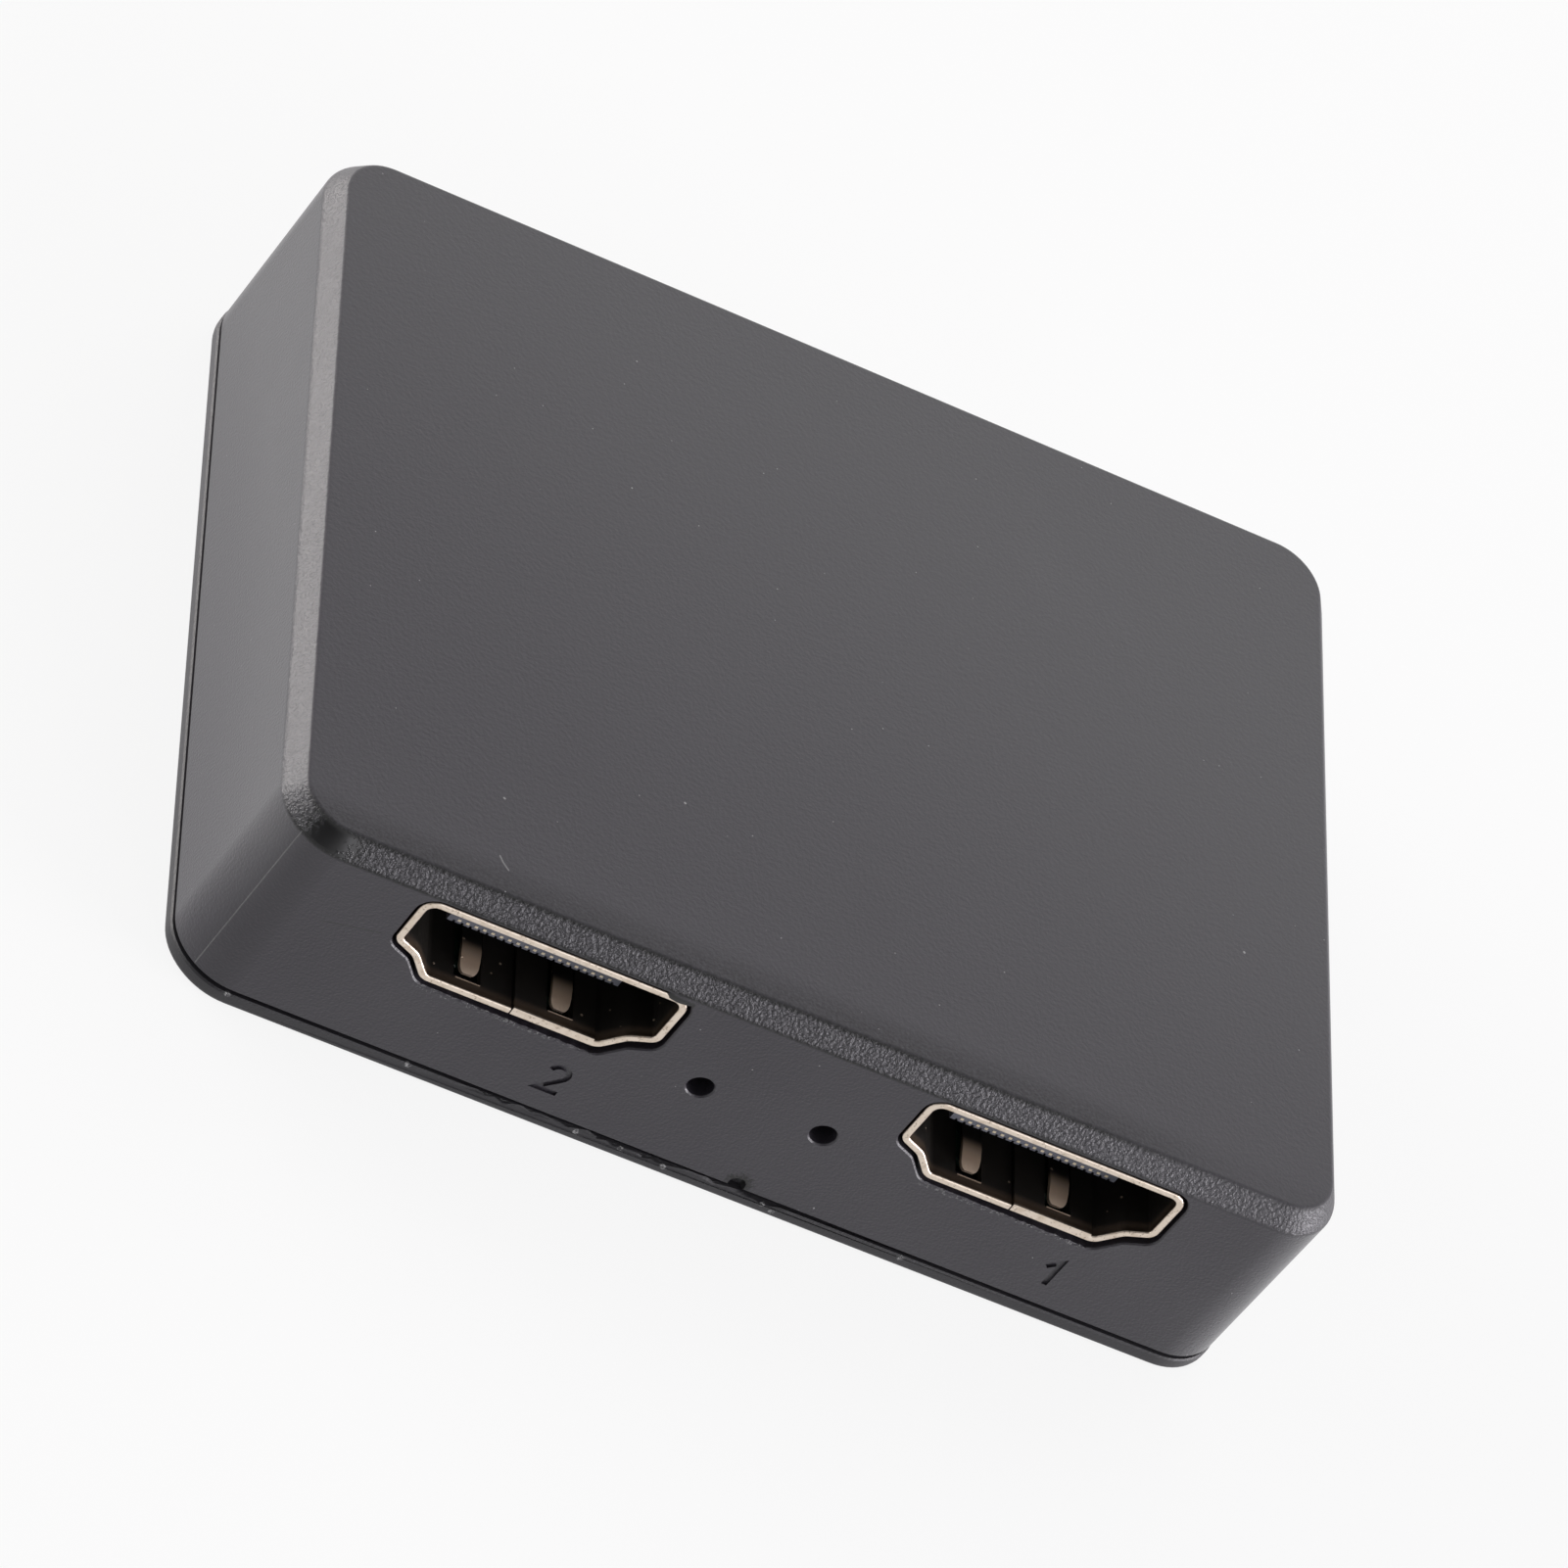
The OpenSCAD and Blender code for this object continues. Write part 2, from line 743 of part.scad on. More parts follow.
module video_shell() {
    color([0.72, 0.69, 0.64]) {
        difference() {
            shell_tube(video_mouth, video_corners, shell_t, shell_d);
            for (side = [1, -1])
                translate([side * spring_x, window_front + window_d / 2, -cut])
                    middle_box([spring_w + 2 * window_gap, window_d, shell_t + 2 * cut]);
            translate([0, shell_d / 2, -cut])
                middle_box([seam_w, shell_d + 2 * cut, shell_t + 2 * cut]);
        }
        for (side = [1, -1])
            translate([side * spring_x, 0, 0])
                spring_finger();
        shell_legs(shell_w, shell_t, shell_h, leg_y);
    }
}

// Middles of the contacts in a row of n
function row(n, pitch) = [for (i = [0 : n - 1]) (i - (n - 1) / 2) * pitch];
upper_row = row(contact_n, contact_pitch);
lower_row = row(contact_n - 1, contact_pitch);

module contact_slots(places, z, depth) {
    for (x = places)
        translate([x, depth / 2, z - contact_play])
            middle_box([contact_w + 2 * contact_play, depth + 2 * cut, contact_t + 2 * contact_play]);
}

module video_insulator() {
    color([0.3, 0.3, 0.32])
        difference() {
            union() {
                translate([0, (tongue_back + shell_d) / 2, tongue_z])
                    middle_box([tongue_w, shell_d - tongue_back, tongue_t]);
                translate([0, shell_d - block_d, 0])
                    along_y(block_d)
                        polygon(mouth_at(video_mouth, video_corners, -block_fit));
            }
            contact_slots(upper_row, tongue_top - contact_t, shell_d);
            contact_slots(lower_row, tongue_z, shell_d);
        }
}

// A contact strip: along the tongue, out behind the shell and down to a foot on the board
module contact(x, z, front, depth) {
    back = depth + tail_gap;
    translate([x, 0, 0])
        across_x(contact_w)
            polygon([
                [front, z], [back, z], [back, 0], [back + tail_foot, 0],
                [back + tail_foot, contact_t], [back + contact_t, contact_t],
                [back + contact_t, z + contact_t], [front, z + contact_t]
            ]);
}

module video_contacts() {
    color([0.85, 0.68, 0.3]) {
        for (x = upper_row)
            contact(x, tongue_top - contact_t, tongue_back, shell_d);
        for (x = lower_row)
            contact(x, tongue_z, tongue_back, shell_d);
    }
}

module output_1_shell() {
    at_front(socket_x[0])
        video_shell();
}

module output_1_insulator() {
    at_front(socket_x[0])
        video_insulator();
}

module output_1_contacts() {
    at_front(socket_x[0])
        video_contacts();
}

module output_2_shell() {
    at_front(socket_x[1])
        video_shell();
}

module output_2_insulator() {
    at_front(socket_x[1])
        video_insulator();
}

module output_2_contacts() {
    at_front(socket_x[1])
        video_contacts();
}

module input_shell() {
    at_back(input_x)
        video_shell();
}

module input_insulator() {
    at_back(input_x)
        video_insulator();
}

module input_contacts() {
    at_back(input_x)
        video_contacts();
}

power_row = row(power_contact_n, power_contact_pitch);

module power_shell() {
    color([0.75, 0.74, 0.72])
        at_back(power_x) {
            shell_tube(power_mouth, power_corners, power_t, power_d);
            shell_legs(power_w, power_t, power_h, power_leg_y);
        }
}

module power_insulator() {
    color([0.1, 0.1, 0.1])
        at_back(power_x)
            difference() {
                union() {
                    translate([0, (power_tongue_back + power_d) / 2, power_tongue_z])
                        middle_box([power_tongue_w, power_d - power_tongue_back, power_tongue_t]);
                    translate([0, power_d - power_block_d, 0])
                        along_y(power_block_d)
                            polygon(mouth_at(power_mouth, power_corners, -block_fit));
                }
                contact_slots(power_row, power_tongue_z, power_d);
            }
}

module power_contacts() {
    color([0.85, 0.68, 0.3])
        at_back(power_x)
            for (x = power_row)
                contact(x, power_tongue_z, power_tongue_back, power_d);
}

// Indicator lights: small side-facing lamps on the board, each behind its hole
module side_light(x) {
    lens = light_w * 0.6;
    wall = 0.1;
    on_board([x, light_y]) {
        color([0.9, 0.9, 0.86])
            difference() {
                translate([0, light_d / 2, 0])
                    middle_box([light_w, light_d, light_h]);
                translate([0, light_d / 4, wall])
                    middle_box([lens, light_d / 2 + cut, light_h]);
            }
    }
}

module indicator_light_1() {
    side_light(light_x[0]);
}

module indicator_light_2() {
    side_light(light_x[1]);
}

// Chips and other parts on the board
module lead_row(n, lead, h) {
    rise = h * lead_rise;
    knee = lead_reach * 0.35;
    for (x = row(n, lead[0]))
        translate([x, 0, 0])
            across_x(lead[1])
                polygon([
                    [-lead_grip, rise], [knee, rise], [knee, 0], [lead_reach, 0], [lead_reach, lead_t],
                    [knee + lead_t, lead_t], [knee + lead_t, rise + lead_t], [-lead_grip, rise + lead_t]
                ]);
}

// A moulded package with front_n leads along its side at -Y and back_n at +Y
module package(l, w, h, front_n, back_n, lead) {
    dot_in = dot_d * 0.9;
    dot_depth = 0.05;
    difference() {
        translate([0, 0, package_lift])
            middle_box([l, w, h - package_lift]);
        translate([dot_in - l / 2, dot_in - w / 2, h - dot_depth])
            cylinder(d = dot_d, h = 2 * dot_depth);
    }
    translate([0, w / 2, 0])
        lead_row(back_n, lead, h);
    rotate(180)
        translate([0, w / 2, 0])
            lead_row(front_n, lead, h);
}

module splitter_chip() {
    lead = [chip_lead_pitch, chip_lead_w];
    color([0.09, 0.09, 0.1])
        on_board() {
            package(chip_w, chip_w, chip_h, chip_lead_n, chip_lead_n, lead);
            for (turn = [90, -90])
                rotate(turn)
                    translate([0, chip_w / 2, 0])
                        lead_row(chip_lead_n, lead, chip_h);
        }
}

module memory_chip() {
    color([0.09, 0.09, 0.1])
        on_board([memory_x, 0])
            package(memory_l, memory_w, memory_h, 4, 4, memory_lead);
}

module timing_crystal() {
    base_h = 0.4;
    lid_h = 0.75;
    rim = 0.35;
    color([0.78, 0.77, 0.74])
        on_board(crystal_at) {
            middle_box([crystal_l, crystal_w, base_h]);
            translate([0, 0, base_h])
                middle_box([crystal_l - 2 * rim, crystal_w - 2 * rim, lid_h]);
        }
}

// A small part with a metal cap at each end
module chip_part(size) {
    cap = size.x * 0.2;
    skin = 0.03;
    middle_box([size.x - cap, size.y - 2 * skin, size.z - skin]);
    for (side = [1, -1])
        translate([side * (size.x - cap) / 2, 0, 0])
            middle_box([cap, size.y, size.z]);
}

module surge_arrays() {
    color([0.1, 0.1, 0.1])
        for (side = [array_x, -array_x]) {
            for (x = socket_x)
                on_board([x + side, -row_y])
                    chip_part(array_size);
            on_board([input_x + side, row_y])
                chip_part(array_size);
        }
}

module level_transistors() {
    color([0.1, 0.1, 0.11])
        for (y = row(4, transistor_pitch))
            on_board([transistor_x, y], 90)
                package(transistor_w, transistor_w, transistor_h, 1, 1, transistor_lead);
}

module linear_regulator() {
    color([0.1, 0.1, 0.11])
        on_board(regulator_at) {
            package(regulator_l, regulator_w, regulator_h, 3, 0, regulator_lead);
            translate([0, regulator_w / 2, 0])
                lead_row(1, [0, regulator_tab_w], regulator_h);
        }
}

module step_down_converter() {
    color([0.1, 0.1, 0.11])
        on_board(converter_at)
            package(transistor_l, transistor_w, transistor_h, 3, 2, transistor_lead);
}

module power_inductor() {
    groove = 0.15;
    color([0.3, 0.3, 0.31])
        on_board(inductor_at)
            difference() {
                middle_box([inductor_w, inductor_w, inductor_h]);
                translate([0, 0, inductor_h - groove])
                    difference() {
                        cylinder(d = inductor_w * 0.9, h = 2 * groove);
                        cylinder(d = inductor_w * 0.78, h = 2 * groove);
                    }
            }
}

module bulk_capacitors() {
    color([0.75, 0.55, 0.2])
        for (y = bulk_y)
            on_board([bulk_x, y])
                chip_part(bulk_size);
}

module protection_diode() {
    color([0.1, 0.1, 0.1])
        on_board([power_x, inlet_y])
            chip_part(diode_size);
}

module ferrite_bead() {
    color([0.3, 0.28, 0.27])
        on_board([bead_x, inlet_y])
            chip_part(bead_size);
}

module output_fuses() {
    color([0.2, 0.35, 0.25])
        for (x = socket_x)
            on_board([x + fuse_x, -row_y])
                chip_part(fuse_size);
}

module ceramic_capacitors() {
    size = [small_l, small_w, capacitor_h];
    color([0.65, 0.52, 0.38]) {
        for (turn = [0 : 90 : 270])
            for (x = row(3, ring_pitch))
                on_board([0, 0], turn)
                    translate([x, ring_y, 0])
                        chip_part(size);
        for (at = loose_capacitors)
            on_board(at)
                chip_part(size);
    }
}

module chip_resistors() {
    size = [small_l, small_w, resistor_h];
    color([0.08, 0.08, 0.08]) {
        for (y = resistor_rows)
            for (x = row(resistor_n, resistor_pitch))
                on_board([memory_x + x, y])
                    chip_part(size);
        for (x = light_x)
            on_board([x, light_resistor_y])
                chip_part(size);
    }
}

upper_housing();
bottom_cover();
board_screws();
circuit_board();
output_1_shell();
output_1_insulator();
output_1_contacts();
output_2_shell();
output_2_insulator();
output_2_contacts();
input_shell();
input_insulator();
input_contacts();
power_shell();
power_insulator();
power_contacts();
indicator_light_1();
indicator_light_2();
splitter_chip();
memory_chip();
timing_crystal();
surge_arrays();
level_transistors();
linear_regulator();
step_down_converter();
power_inductor();
bulk_capacitors();
protection_diode();
ferrite_bead();
output_fuses();
ceramic_capacitors();
chip_resistors();
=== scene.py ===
import json
import math
import random

import bmesh
import bpy
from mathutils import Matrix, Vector

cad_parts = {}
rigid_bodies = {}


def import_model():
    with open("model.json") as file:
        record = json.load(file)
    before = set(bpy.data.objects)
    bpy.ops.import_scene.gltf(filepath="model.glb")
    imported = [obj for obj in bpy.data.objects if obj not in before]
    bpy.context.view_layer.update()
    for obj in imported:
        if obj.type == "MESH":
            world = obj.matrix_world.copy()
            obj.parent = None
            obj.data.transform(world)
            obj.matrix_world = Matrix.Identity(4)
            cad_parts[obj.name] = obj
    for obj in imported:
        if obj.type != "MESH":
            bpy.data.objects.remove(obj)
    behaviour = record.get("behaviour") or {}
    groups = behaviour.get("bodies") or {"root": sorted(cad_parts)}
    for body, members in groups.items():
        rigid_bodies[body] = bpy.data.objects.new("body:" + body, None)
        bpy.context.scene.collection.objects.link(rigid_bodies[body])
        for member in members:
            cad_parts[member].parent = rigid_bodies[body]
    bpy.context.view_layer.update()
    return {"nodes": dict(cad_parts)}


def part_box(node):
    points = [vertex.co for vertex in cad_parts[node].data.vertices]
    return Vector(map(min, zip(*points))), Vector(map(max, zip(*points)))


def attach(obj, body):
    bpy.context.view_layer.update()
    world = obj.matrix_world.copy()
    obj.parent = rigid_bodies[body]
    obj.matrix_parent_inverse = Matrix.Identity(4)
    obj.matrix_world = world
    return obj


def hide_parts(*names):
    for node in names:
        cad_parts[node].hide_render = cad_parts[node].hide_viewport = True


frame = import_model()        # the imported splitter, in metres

print("frame loaded:", len(frame["nodes"]), "nodes")

mm = 0.001      # pieces are modelled in millimetres and brought to metres when they are done
tiny = 0.001    # how near, in millimetres, two places count as one
sortWay = Vector((1.0, 0.377, 0.0713))    # a slant on which no two corners are level
past = 0.3      # how far the cutter of a mouth or a light hole reaches out of its wall
over = 0.1      # how far other cutters reach out
sink = 0.2      # how far an added piece reaches into what carries it


# small helpers for modelling

def nodeBox(node):  # a node's lowest and highest corner, in millimetres
    low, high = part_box(node)
    return low / mm, high / mm


def deselect():
    bpy.ops.object.select_all(action="DESELECT")


def only(*objects):  # selects these objects alone, the first one active
    deselect()
    for obj in objects:
        obj.select_set(True)
    bpy.context.view_layer.objects.active = objects[0]


def closeEdit():
    bpy.ops.object.mode_set(mode="OBJECT")
    return bpy.context.object


def applyPlace():  # a piece's place, turn and size go into its mesh
    bpy.ops.object.transform_apply(location=True, rotation=True, scale=True)


def begun(name):  # names a new primitive, puts its place in its mesh and opens it in edit mode
    applyPlace()
    bpy.context.object.name = name
    bpy.ops.object.mode_set(mode="EDIT")
    return bpy.context.object


def selectAll():
    bpy.ops.mesh.select_all(action="SELECT")


def bevelEdges(offset, steps):
    bpy.ops.mesh.bevel(offset=offset, segments=steps, affect="EDGES")


def pick(kind, test):  # selects the faces, edges or corners that pass a test
    bpy.ops.mesh.select_mode(type=kind)
    bpy.ops.mesh.select_all(action="DESELECT")
    mesh = bpy.context.edit_object.data
    shape = bmesh.from_edit_mesh(mesh)
    for item in {"VERT": shape.verts, "EDGE": shape.edges, "FACE": shape.faces}[kind]:
        if test(item):
            item.select_set(True)
    shape.select_flush_mode()
    bmesh.update_edit_mesh(mesh)


def inOrder():  # sorts the corners by place, so that seeded draws fall on the same ones in each run
    mesh = bpy.context.edit_object.data
    bmesh.from_edit_mesh(mesh).verts.sort(key=lambda v: v.co.dot(sortWay))
    bmesh.update_edit_mesh(mesh)


def levelEdge(edge, height):  # both ends of the edge lie at this height
    return all(abs(v.co.z - height) < tiny for v in edge.verts)


def extrude(x, y, z):
    bpy.ops.mesh.extrude_region_move(TRANSFORM_OT_translate={"value": (x, y, z)})


def addBlock(name, low, high):  # a block between two corners, left open in edit mode
    low, high = Vector(low), Vector(high)
    deselect()
    bpy.ops.mesh.primitive_cube_add(size=1, location=(low + high) / 2, scale=high - low)
    return begun(name)


def addBlocks(name, boxes):  # several blocks as one object
    blocks = []
    for low, high in boxes:
        addBlock(name, low, high)
        blocks.append(closeEdit())
    return joined(blocks)


def addRod(name, start, radius, length, along="Z", steps=40):  # a round bar, left open in edit mode
    lean = {"Z": (0, 0, 0), "Y": (-math.pi / 2, 0, 0)}[along]
    middle = Vector(start) + {"Z": Vector((0, 0, 1)), "Y": Vector((0, 1, 0))}[along] * length / 2
    deselect()
    bpy.ops.mesh.primitive_cylinder_add(
        vertices=steps, radius=radius, depth=length, location=middle, rotation=lean)
    return begun(name)


def joined(objects):
    only(*objects)
    if len(objects) > 1:
        bpy.ops.object.join()
    return bpy.context.object


def modify(obj, kind, **settings):  # adds a modifier, sets it and applies it
    only(obj)
    modifier = obj.modifiers.new(kind.lower(), kind)
    for name, value in settings.items():
        setattr(modifier, name, value)
    bpy.ops.object.modifier_apply(modifier=modifier.name)


def combine(obj, other, operation):  # cuts the other piece away, or adds it, and deletes it
    modify(obj, "BOOLEAN", operation=operation, object=other, solver="EXACT")
    bpy.data.objects.remove(other)


def moved(obj, place, turn=0):  # puts a piece in its place, turned about the upright axis
    only(obj)
    obj.location = place
    obj.rotation_euler = (0, 0, turn)
    applyPlace()
    return obj


def copied(obj, name):  # a copy with its own mesh
    only(obj)
    bpy.ops.object.duplicate(linked=False)
    bpy.context.object.name = name
    return bpy.context.object


def facesOut():
    selectAll()
    bpy.ops.mesh.normals_make_consistent(inside=False)


def ribbon(name, path, wide, thick):  # a bent strip along a path of y, z and share of the width
    deselect()
    bpy.ops.mesh.primitive_plane_add(size=1, location=(0, 0.5, 0))
    strip = begun(name)
    pick("VERT", lambda v: v.co.y > 0.5)
    bpy.ops.mesh.delete(type="VERT")
    selectAll()
    y, z, share = path[0]
    bpy.ops.transform.resize(value=(wide * share, 1, 1), center_override=(0, 0, 0))
    bpy.ops.transform.translate(value=(0, y, z))
    for nextY, nextZ, nextShare in path[1:]:
        extrude(0, nextY - y, nextZ - z)
        bpy.ops.transform.resize(value=(nextShare / share, 1, 1), center_override=(0, nextY, nextZ))
        y, z, share = nextY, nextZ, nextShare
    closeEdit()
    modify(strip, "SOLIDIFY", thickness=thick, offset=0, use_even_offset=True)
    return strip


def finishPiece(obj, finish, slot, *nodes, angle=35):  # to metres, shaded, and riding on the case
    only(obj)
    obj.scale = (mm, mm, mm)
    applyPlace()
    bpy.ops.object.shade_smooth_by_angle(angle=math.radians(angle))
    modify(obj, "WEIGHTED_NORMAL", mode="FACE_AREA", weight=50, keep_sharp=True)
    if not obj.data.materials:
        obj.data.materials.append(finish)
    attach(obj, "root")
    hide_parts(*nodes)
    return obj


# shader maths

class Wire:  # a socket of a node, so that shader maths reads as plain sums
    def __init__(self, tree, socket=None):
        self.tree = tree
        self.socket = socket

    def make(self, kind, settings=None, values=None, out=0):  # any node: settings first, then its sockets
        node = self.tree.nodes.new("ShaderNode" + kind)
        for name, value in (settings or {}).items():
            setattr(node, name, value)
        for name, value in (values or {}).items():
            if isinstance(value, Wire):
                self.tree.links.new(value.socket, node.inputs[name])
            else:
                node.inputs[name].default_value = value
        return Wire(self.tree, node.outputs[out])

    def maths(self, operation, first, second=0.0):
        return self.make("Math", {"operation": operation}, {0: first, 1: second})

    def vector(self, operation, other, out="Vector"):
        return self.make("VectorMath", {"operation": operation}, {0: self, 1: other}, out=out)

    def __add__(self, other):
        return self.maths("ADD", self, other)

    def __radd__(self, other):
        return self.maths("ADD", other, self)

    def __sub__(self, other):
        return self.maths("SUBTRACT", self, other)

    def __rsub__(self, other):
        return self.maths("SUBTRACT", other, self)

    def __mul__(self, other):
        return self.maths("MULTIPLY", self, other)

    def __rmul__(self, other):
        return self.maths("MULTIPLY", other, self)

    def __abs__(self):
        return self.maths("ABSOLUTE", self)

    def least(self, other):
        return self.maths("MINIMUM", self, other)

    def most(self, other):
        return self.maths("MAXIMUM", self, other)

    def step(self, start, end):  # eases from 0 at start to 1 at end
        settings = {"interpolation_type": "SMOOTHSTEP"}
        if start < end:
            return self.make("MapRange", settings, {"Value": self, "From Min": start, "From Max": end})
        values = {"Value": self, "From Min": end, "From Max": start, "To Min": 1.0, "To Max": 0.0}
        return self.make("MapRange", settings, values)

    def mix(self, first, second):  # a colour from first to second, by this mask
        return self.make("Mix", {"data_type": "RGBA"}, {0: self, 6: first, 7: second}, out=2)

    def noise(self, scale, detail=2.0, rough=0.5):
        return self.make("TexNoise", {}, {"Vector": self, "Scale": scale, "Detail": detail, "Roughness": rough})

    def cells(self, scale, out="Distance"):
        return self.make("TexVoronoi", {}, {"Vector": self, "Scale": scale}, out=out)

    def axis(self, name):
        return self.make("SeparateXYZ", {}, {0: self}, out=name)


def grey(value):
    return (value, value, value, 1)


def newFinish(name):  # an empty material with its shader: the shader node, and the place on the piece in mm
    finish = bpy.data.materials.new(name)
    finish.use_nodes = True
    shader = finish.node_tree.nodes["Principled BSDF"]
    start = Wire(finish.node_tree)
    place = start.make("TexCoord", out="Object")
    place = place.make("VectorMath", {"operation": "SCALE"}, {0: place, "Scale": 1 / mm})
    return finish, shader, place


def feed(shader, **inputs):  # links or sets the shader's sockets, by short names
    names = dict(base="Base Color", rough="Roughness", metal="Metallic", bump="Normal",
                 specular="Specular IOR Level")
    for name, value in inputs.items():
        socket = shader.inputs[names[name]]
        if isinstance(value, Wire):
            value.tree.links.new(value.socket, socket)
        else:
            socket.default_value = value


def bumped(height):  # a bump from a height in millimetres
    return height.make("Bump", {}, {"Strength": 1.0, "Distance": mm, "Height": height})


# places that several pieces share

def middleX(node):
    low, high = nodeBox(node)
    return (low.x + high.x) / 2


mouthPlane = -nodeBox("output_1_shell")[0].y
boardLow, boardHigh = nodeBox("circuit_board")
boardTop = boardHigh.z
lightLow, lightHigh = nodeBox("indicator_light_1")
lightZ = (lightLow.z + lightHigh.z) / 2
outputX = [middleX("output_1_shell"), middleX("output_2_shell")]
inputX, powerX = middleX("input_shell"), middleX("power_shell")


# finishes

plastic = dict(
    dark=(0.0226, 0.0198, 0.0268, 1), light=(0.062, 0.060, 0.066, 1),
    paintedLightWay=(0.004, 0.011), paleSpan=(-0.30, 0.30), paleCloud=0.15,     # painted light: it gets paler to the back and right
    # painted light on the left side, paler higher up, and a painted highlight on the right end of the front
    # wall
    paintedLightLeft=(0.15, 0.65), paintedLightLeftZ=(2.0, 12.0), paleBevel=0.45, paintedHighlightRight=0.4,
    shine=0.5, roofRough=0.60, bevelRough=0.44, wallRough=0.36,
    cloudRough=0.10, markRough=0.2, shadeRough=0.25, patchSmooth=0.12,
    cornerSmooth=0.10, cornerFade=(24.0, 28.0),           # the walls shine more at the right
    roofFade=(13.38, 13.46), bevelFade=(12.22, 12.36),    # heights where the roof and its bevel begin
    frontFade=(-20.5, -22.6), leftFade=(-28.0, -29.6),    # where the front and the left side begin
    rightFade=(25.0, 29.0),                               # the right end of the front wall, paler with a painted highlight
    roofGrain=4.5, roofDepth=0.050,                       # grain per millimetre, and its depth
    bevelGrain=5.4, bevelDepth=0.130, bevelEdge=(0.34, 0.68),
    bevelSide=0.15, grainLoss=0.88, grainFade=(-8.0, 23.0),    # less on the bevel's sides and to the right
    wallGrain=6.5, wallDepth=0.034, cloudGrain=0.12,
    borderHigh=13.40, borderLow=12.28, shadeLine=0.17,       # painted shade: dark lines along the bevel's front edges
    borderRagged=0.12, borderLoss=0.7, borderFade=(14.0, 25.0),
    patchFrom=(-0.9, 0.4), patchTo=(3.1, 2.1), patchRagged=0.9, patchShare=0.9,    # a smoother patch by the mould line, dark as a painted dark reflection
    dust=(0.5, 0.065, 0.22), fineDust=(1.1, 0.0455, 0.25), dustHigh=0.02,    # cells per mm, size, how many
    fibre=((-18.60, -20.72), (-18.42, -21.05), (-18.11, -21.42)), fibreWide=0.075, fibreShare=0.55,
    specks=((-18.52, -16.88), (-8.52, -12.44), (24.06, -7.22)), speckSize=0.10,
    scratch=((-25.2, -23.8, 7.98), (-22.37, -23.8, 8.67)), scratchWide=0.06,
    paintedDark=(1.69, -23.8, 1.45), paintedDarkSize=0.95,          # painted shade in the dent where a tool slipped
    flashShadow=((-8.15, -23.82, 11.92), (-6.90, -23.82, 11.84)), flashShadowWide=0.30,     # painted shadow under the flash on output 2
    burrZ=6.16, burrHalf=5.2, burrWall=(-23.6, -23.75),   # the rough plastic under each output socket
    tones=dict(shadeLine=(0.9, 0.003), scratch=(0.7, 0.010), paintedDark=(1.0, 0.003), burr=(0.8, 0.15),
               mould=(0.6, 0.16), dust=(0.8, 0.34)),      # how much each mark and each painted shade covers, and its grey
)


def dustOn(place, scale, size, share):  # sparse round specks: cells of which a share holds one
    near = place.cells(scale).step(size * scale, size * scale * 0.6)
    chosen = place.cells(scale, "Color").axis("X").step(1 - share, 1 - share + 0.02)
    return near * chosen


def nearLine(place, start, end, wide):  # 1 along a straight line between two places, fading out at its sides
    start, end = Vector(start), Vector(end)
    along = (end - start).normalized()
    offset = place.vector("SUBTRACT", start)
    ahead = offset.vector("DOT_PRODUCT", along, "Value").most(0.0).least((end - start).length)
    foot = ahead.make("VectorMath", {"operation": "SCALE"}, {0: along, "Scale": ahead})
    return offset.vector("DISTANCE", foot, "Value").step(wide, wide * 0.4)


def nearSpot(place, spot, size, grain):  # 1 round one place, with an edge that a grain makes rough
    far = place.vector("DISTANCE", spot, "Value")
    return (far + (grain - 0.5) * size).step(size, size * 0.5)


def roofMarks(place, grain):  # a fibre and a few bright specks that lie on the roof
    p = plastic
    roof = nodeBox("upper_housing")[1].z
    first, middle, last = [(*spot, roof) for spot in p["fibre"]]
    wide = p["fibreWide"]
    marks = nearLine(place, first, middle, wide).most(nearLine(place, middle, last, wide)) * p["fibreShare"]
    for spot in p["specks"]:
        marks = marks.most(nearSpot(place, (*spot, roof), p["speckSize"], grain))
    return marks


seam = dict(corner=(-26.5, -20.3), turn=50, width=0.045, start=(1.0, 2.0))  # the mould line at the front left


def cornerPlace(place):  # how far a place lies beside the mould line's plane, and how far out along it
    turn = math.radians(seam["turn"])
    along = Vector((-math.cos(turn), -math.sin(turn), 0))
    across = Vector((math.sin(turn), -math.cos(turn), 0))
    offset = place.vector("SUBTRACT", (*seam["corner"], 0))
    return offset.vector("DOT_PRODUCT", across, "Value"), offset.vector("DOT_PRODUCT", along, "Value")


def socketBurrs(place, x, height):  # pale crumbs along the lower edge of the output openings
    p = plastic
    along = abs(abs(x) - outputX[0]).step(p["burrHalf"], p["burrHalf"] - 0.8)
    zone = along * abs(height - p["burrZ"]).step(0.22, 0.05)
    return place.noise(6.0, detail=3.0, rough=0.6).step(0.55, 0.64) * zone


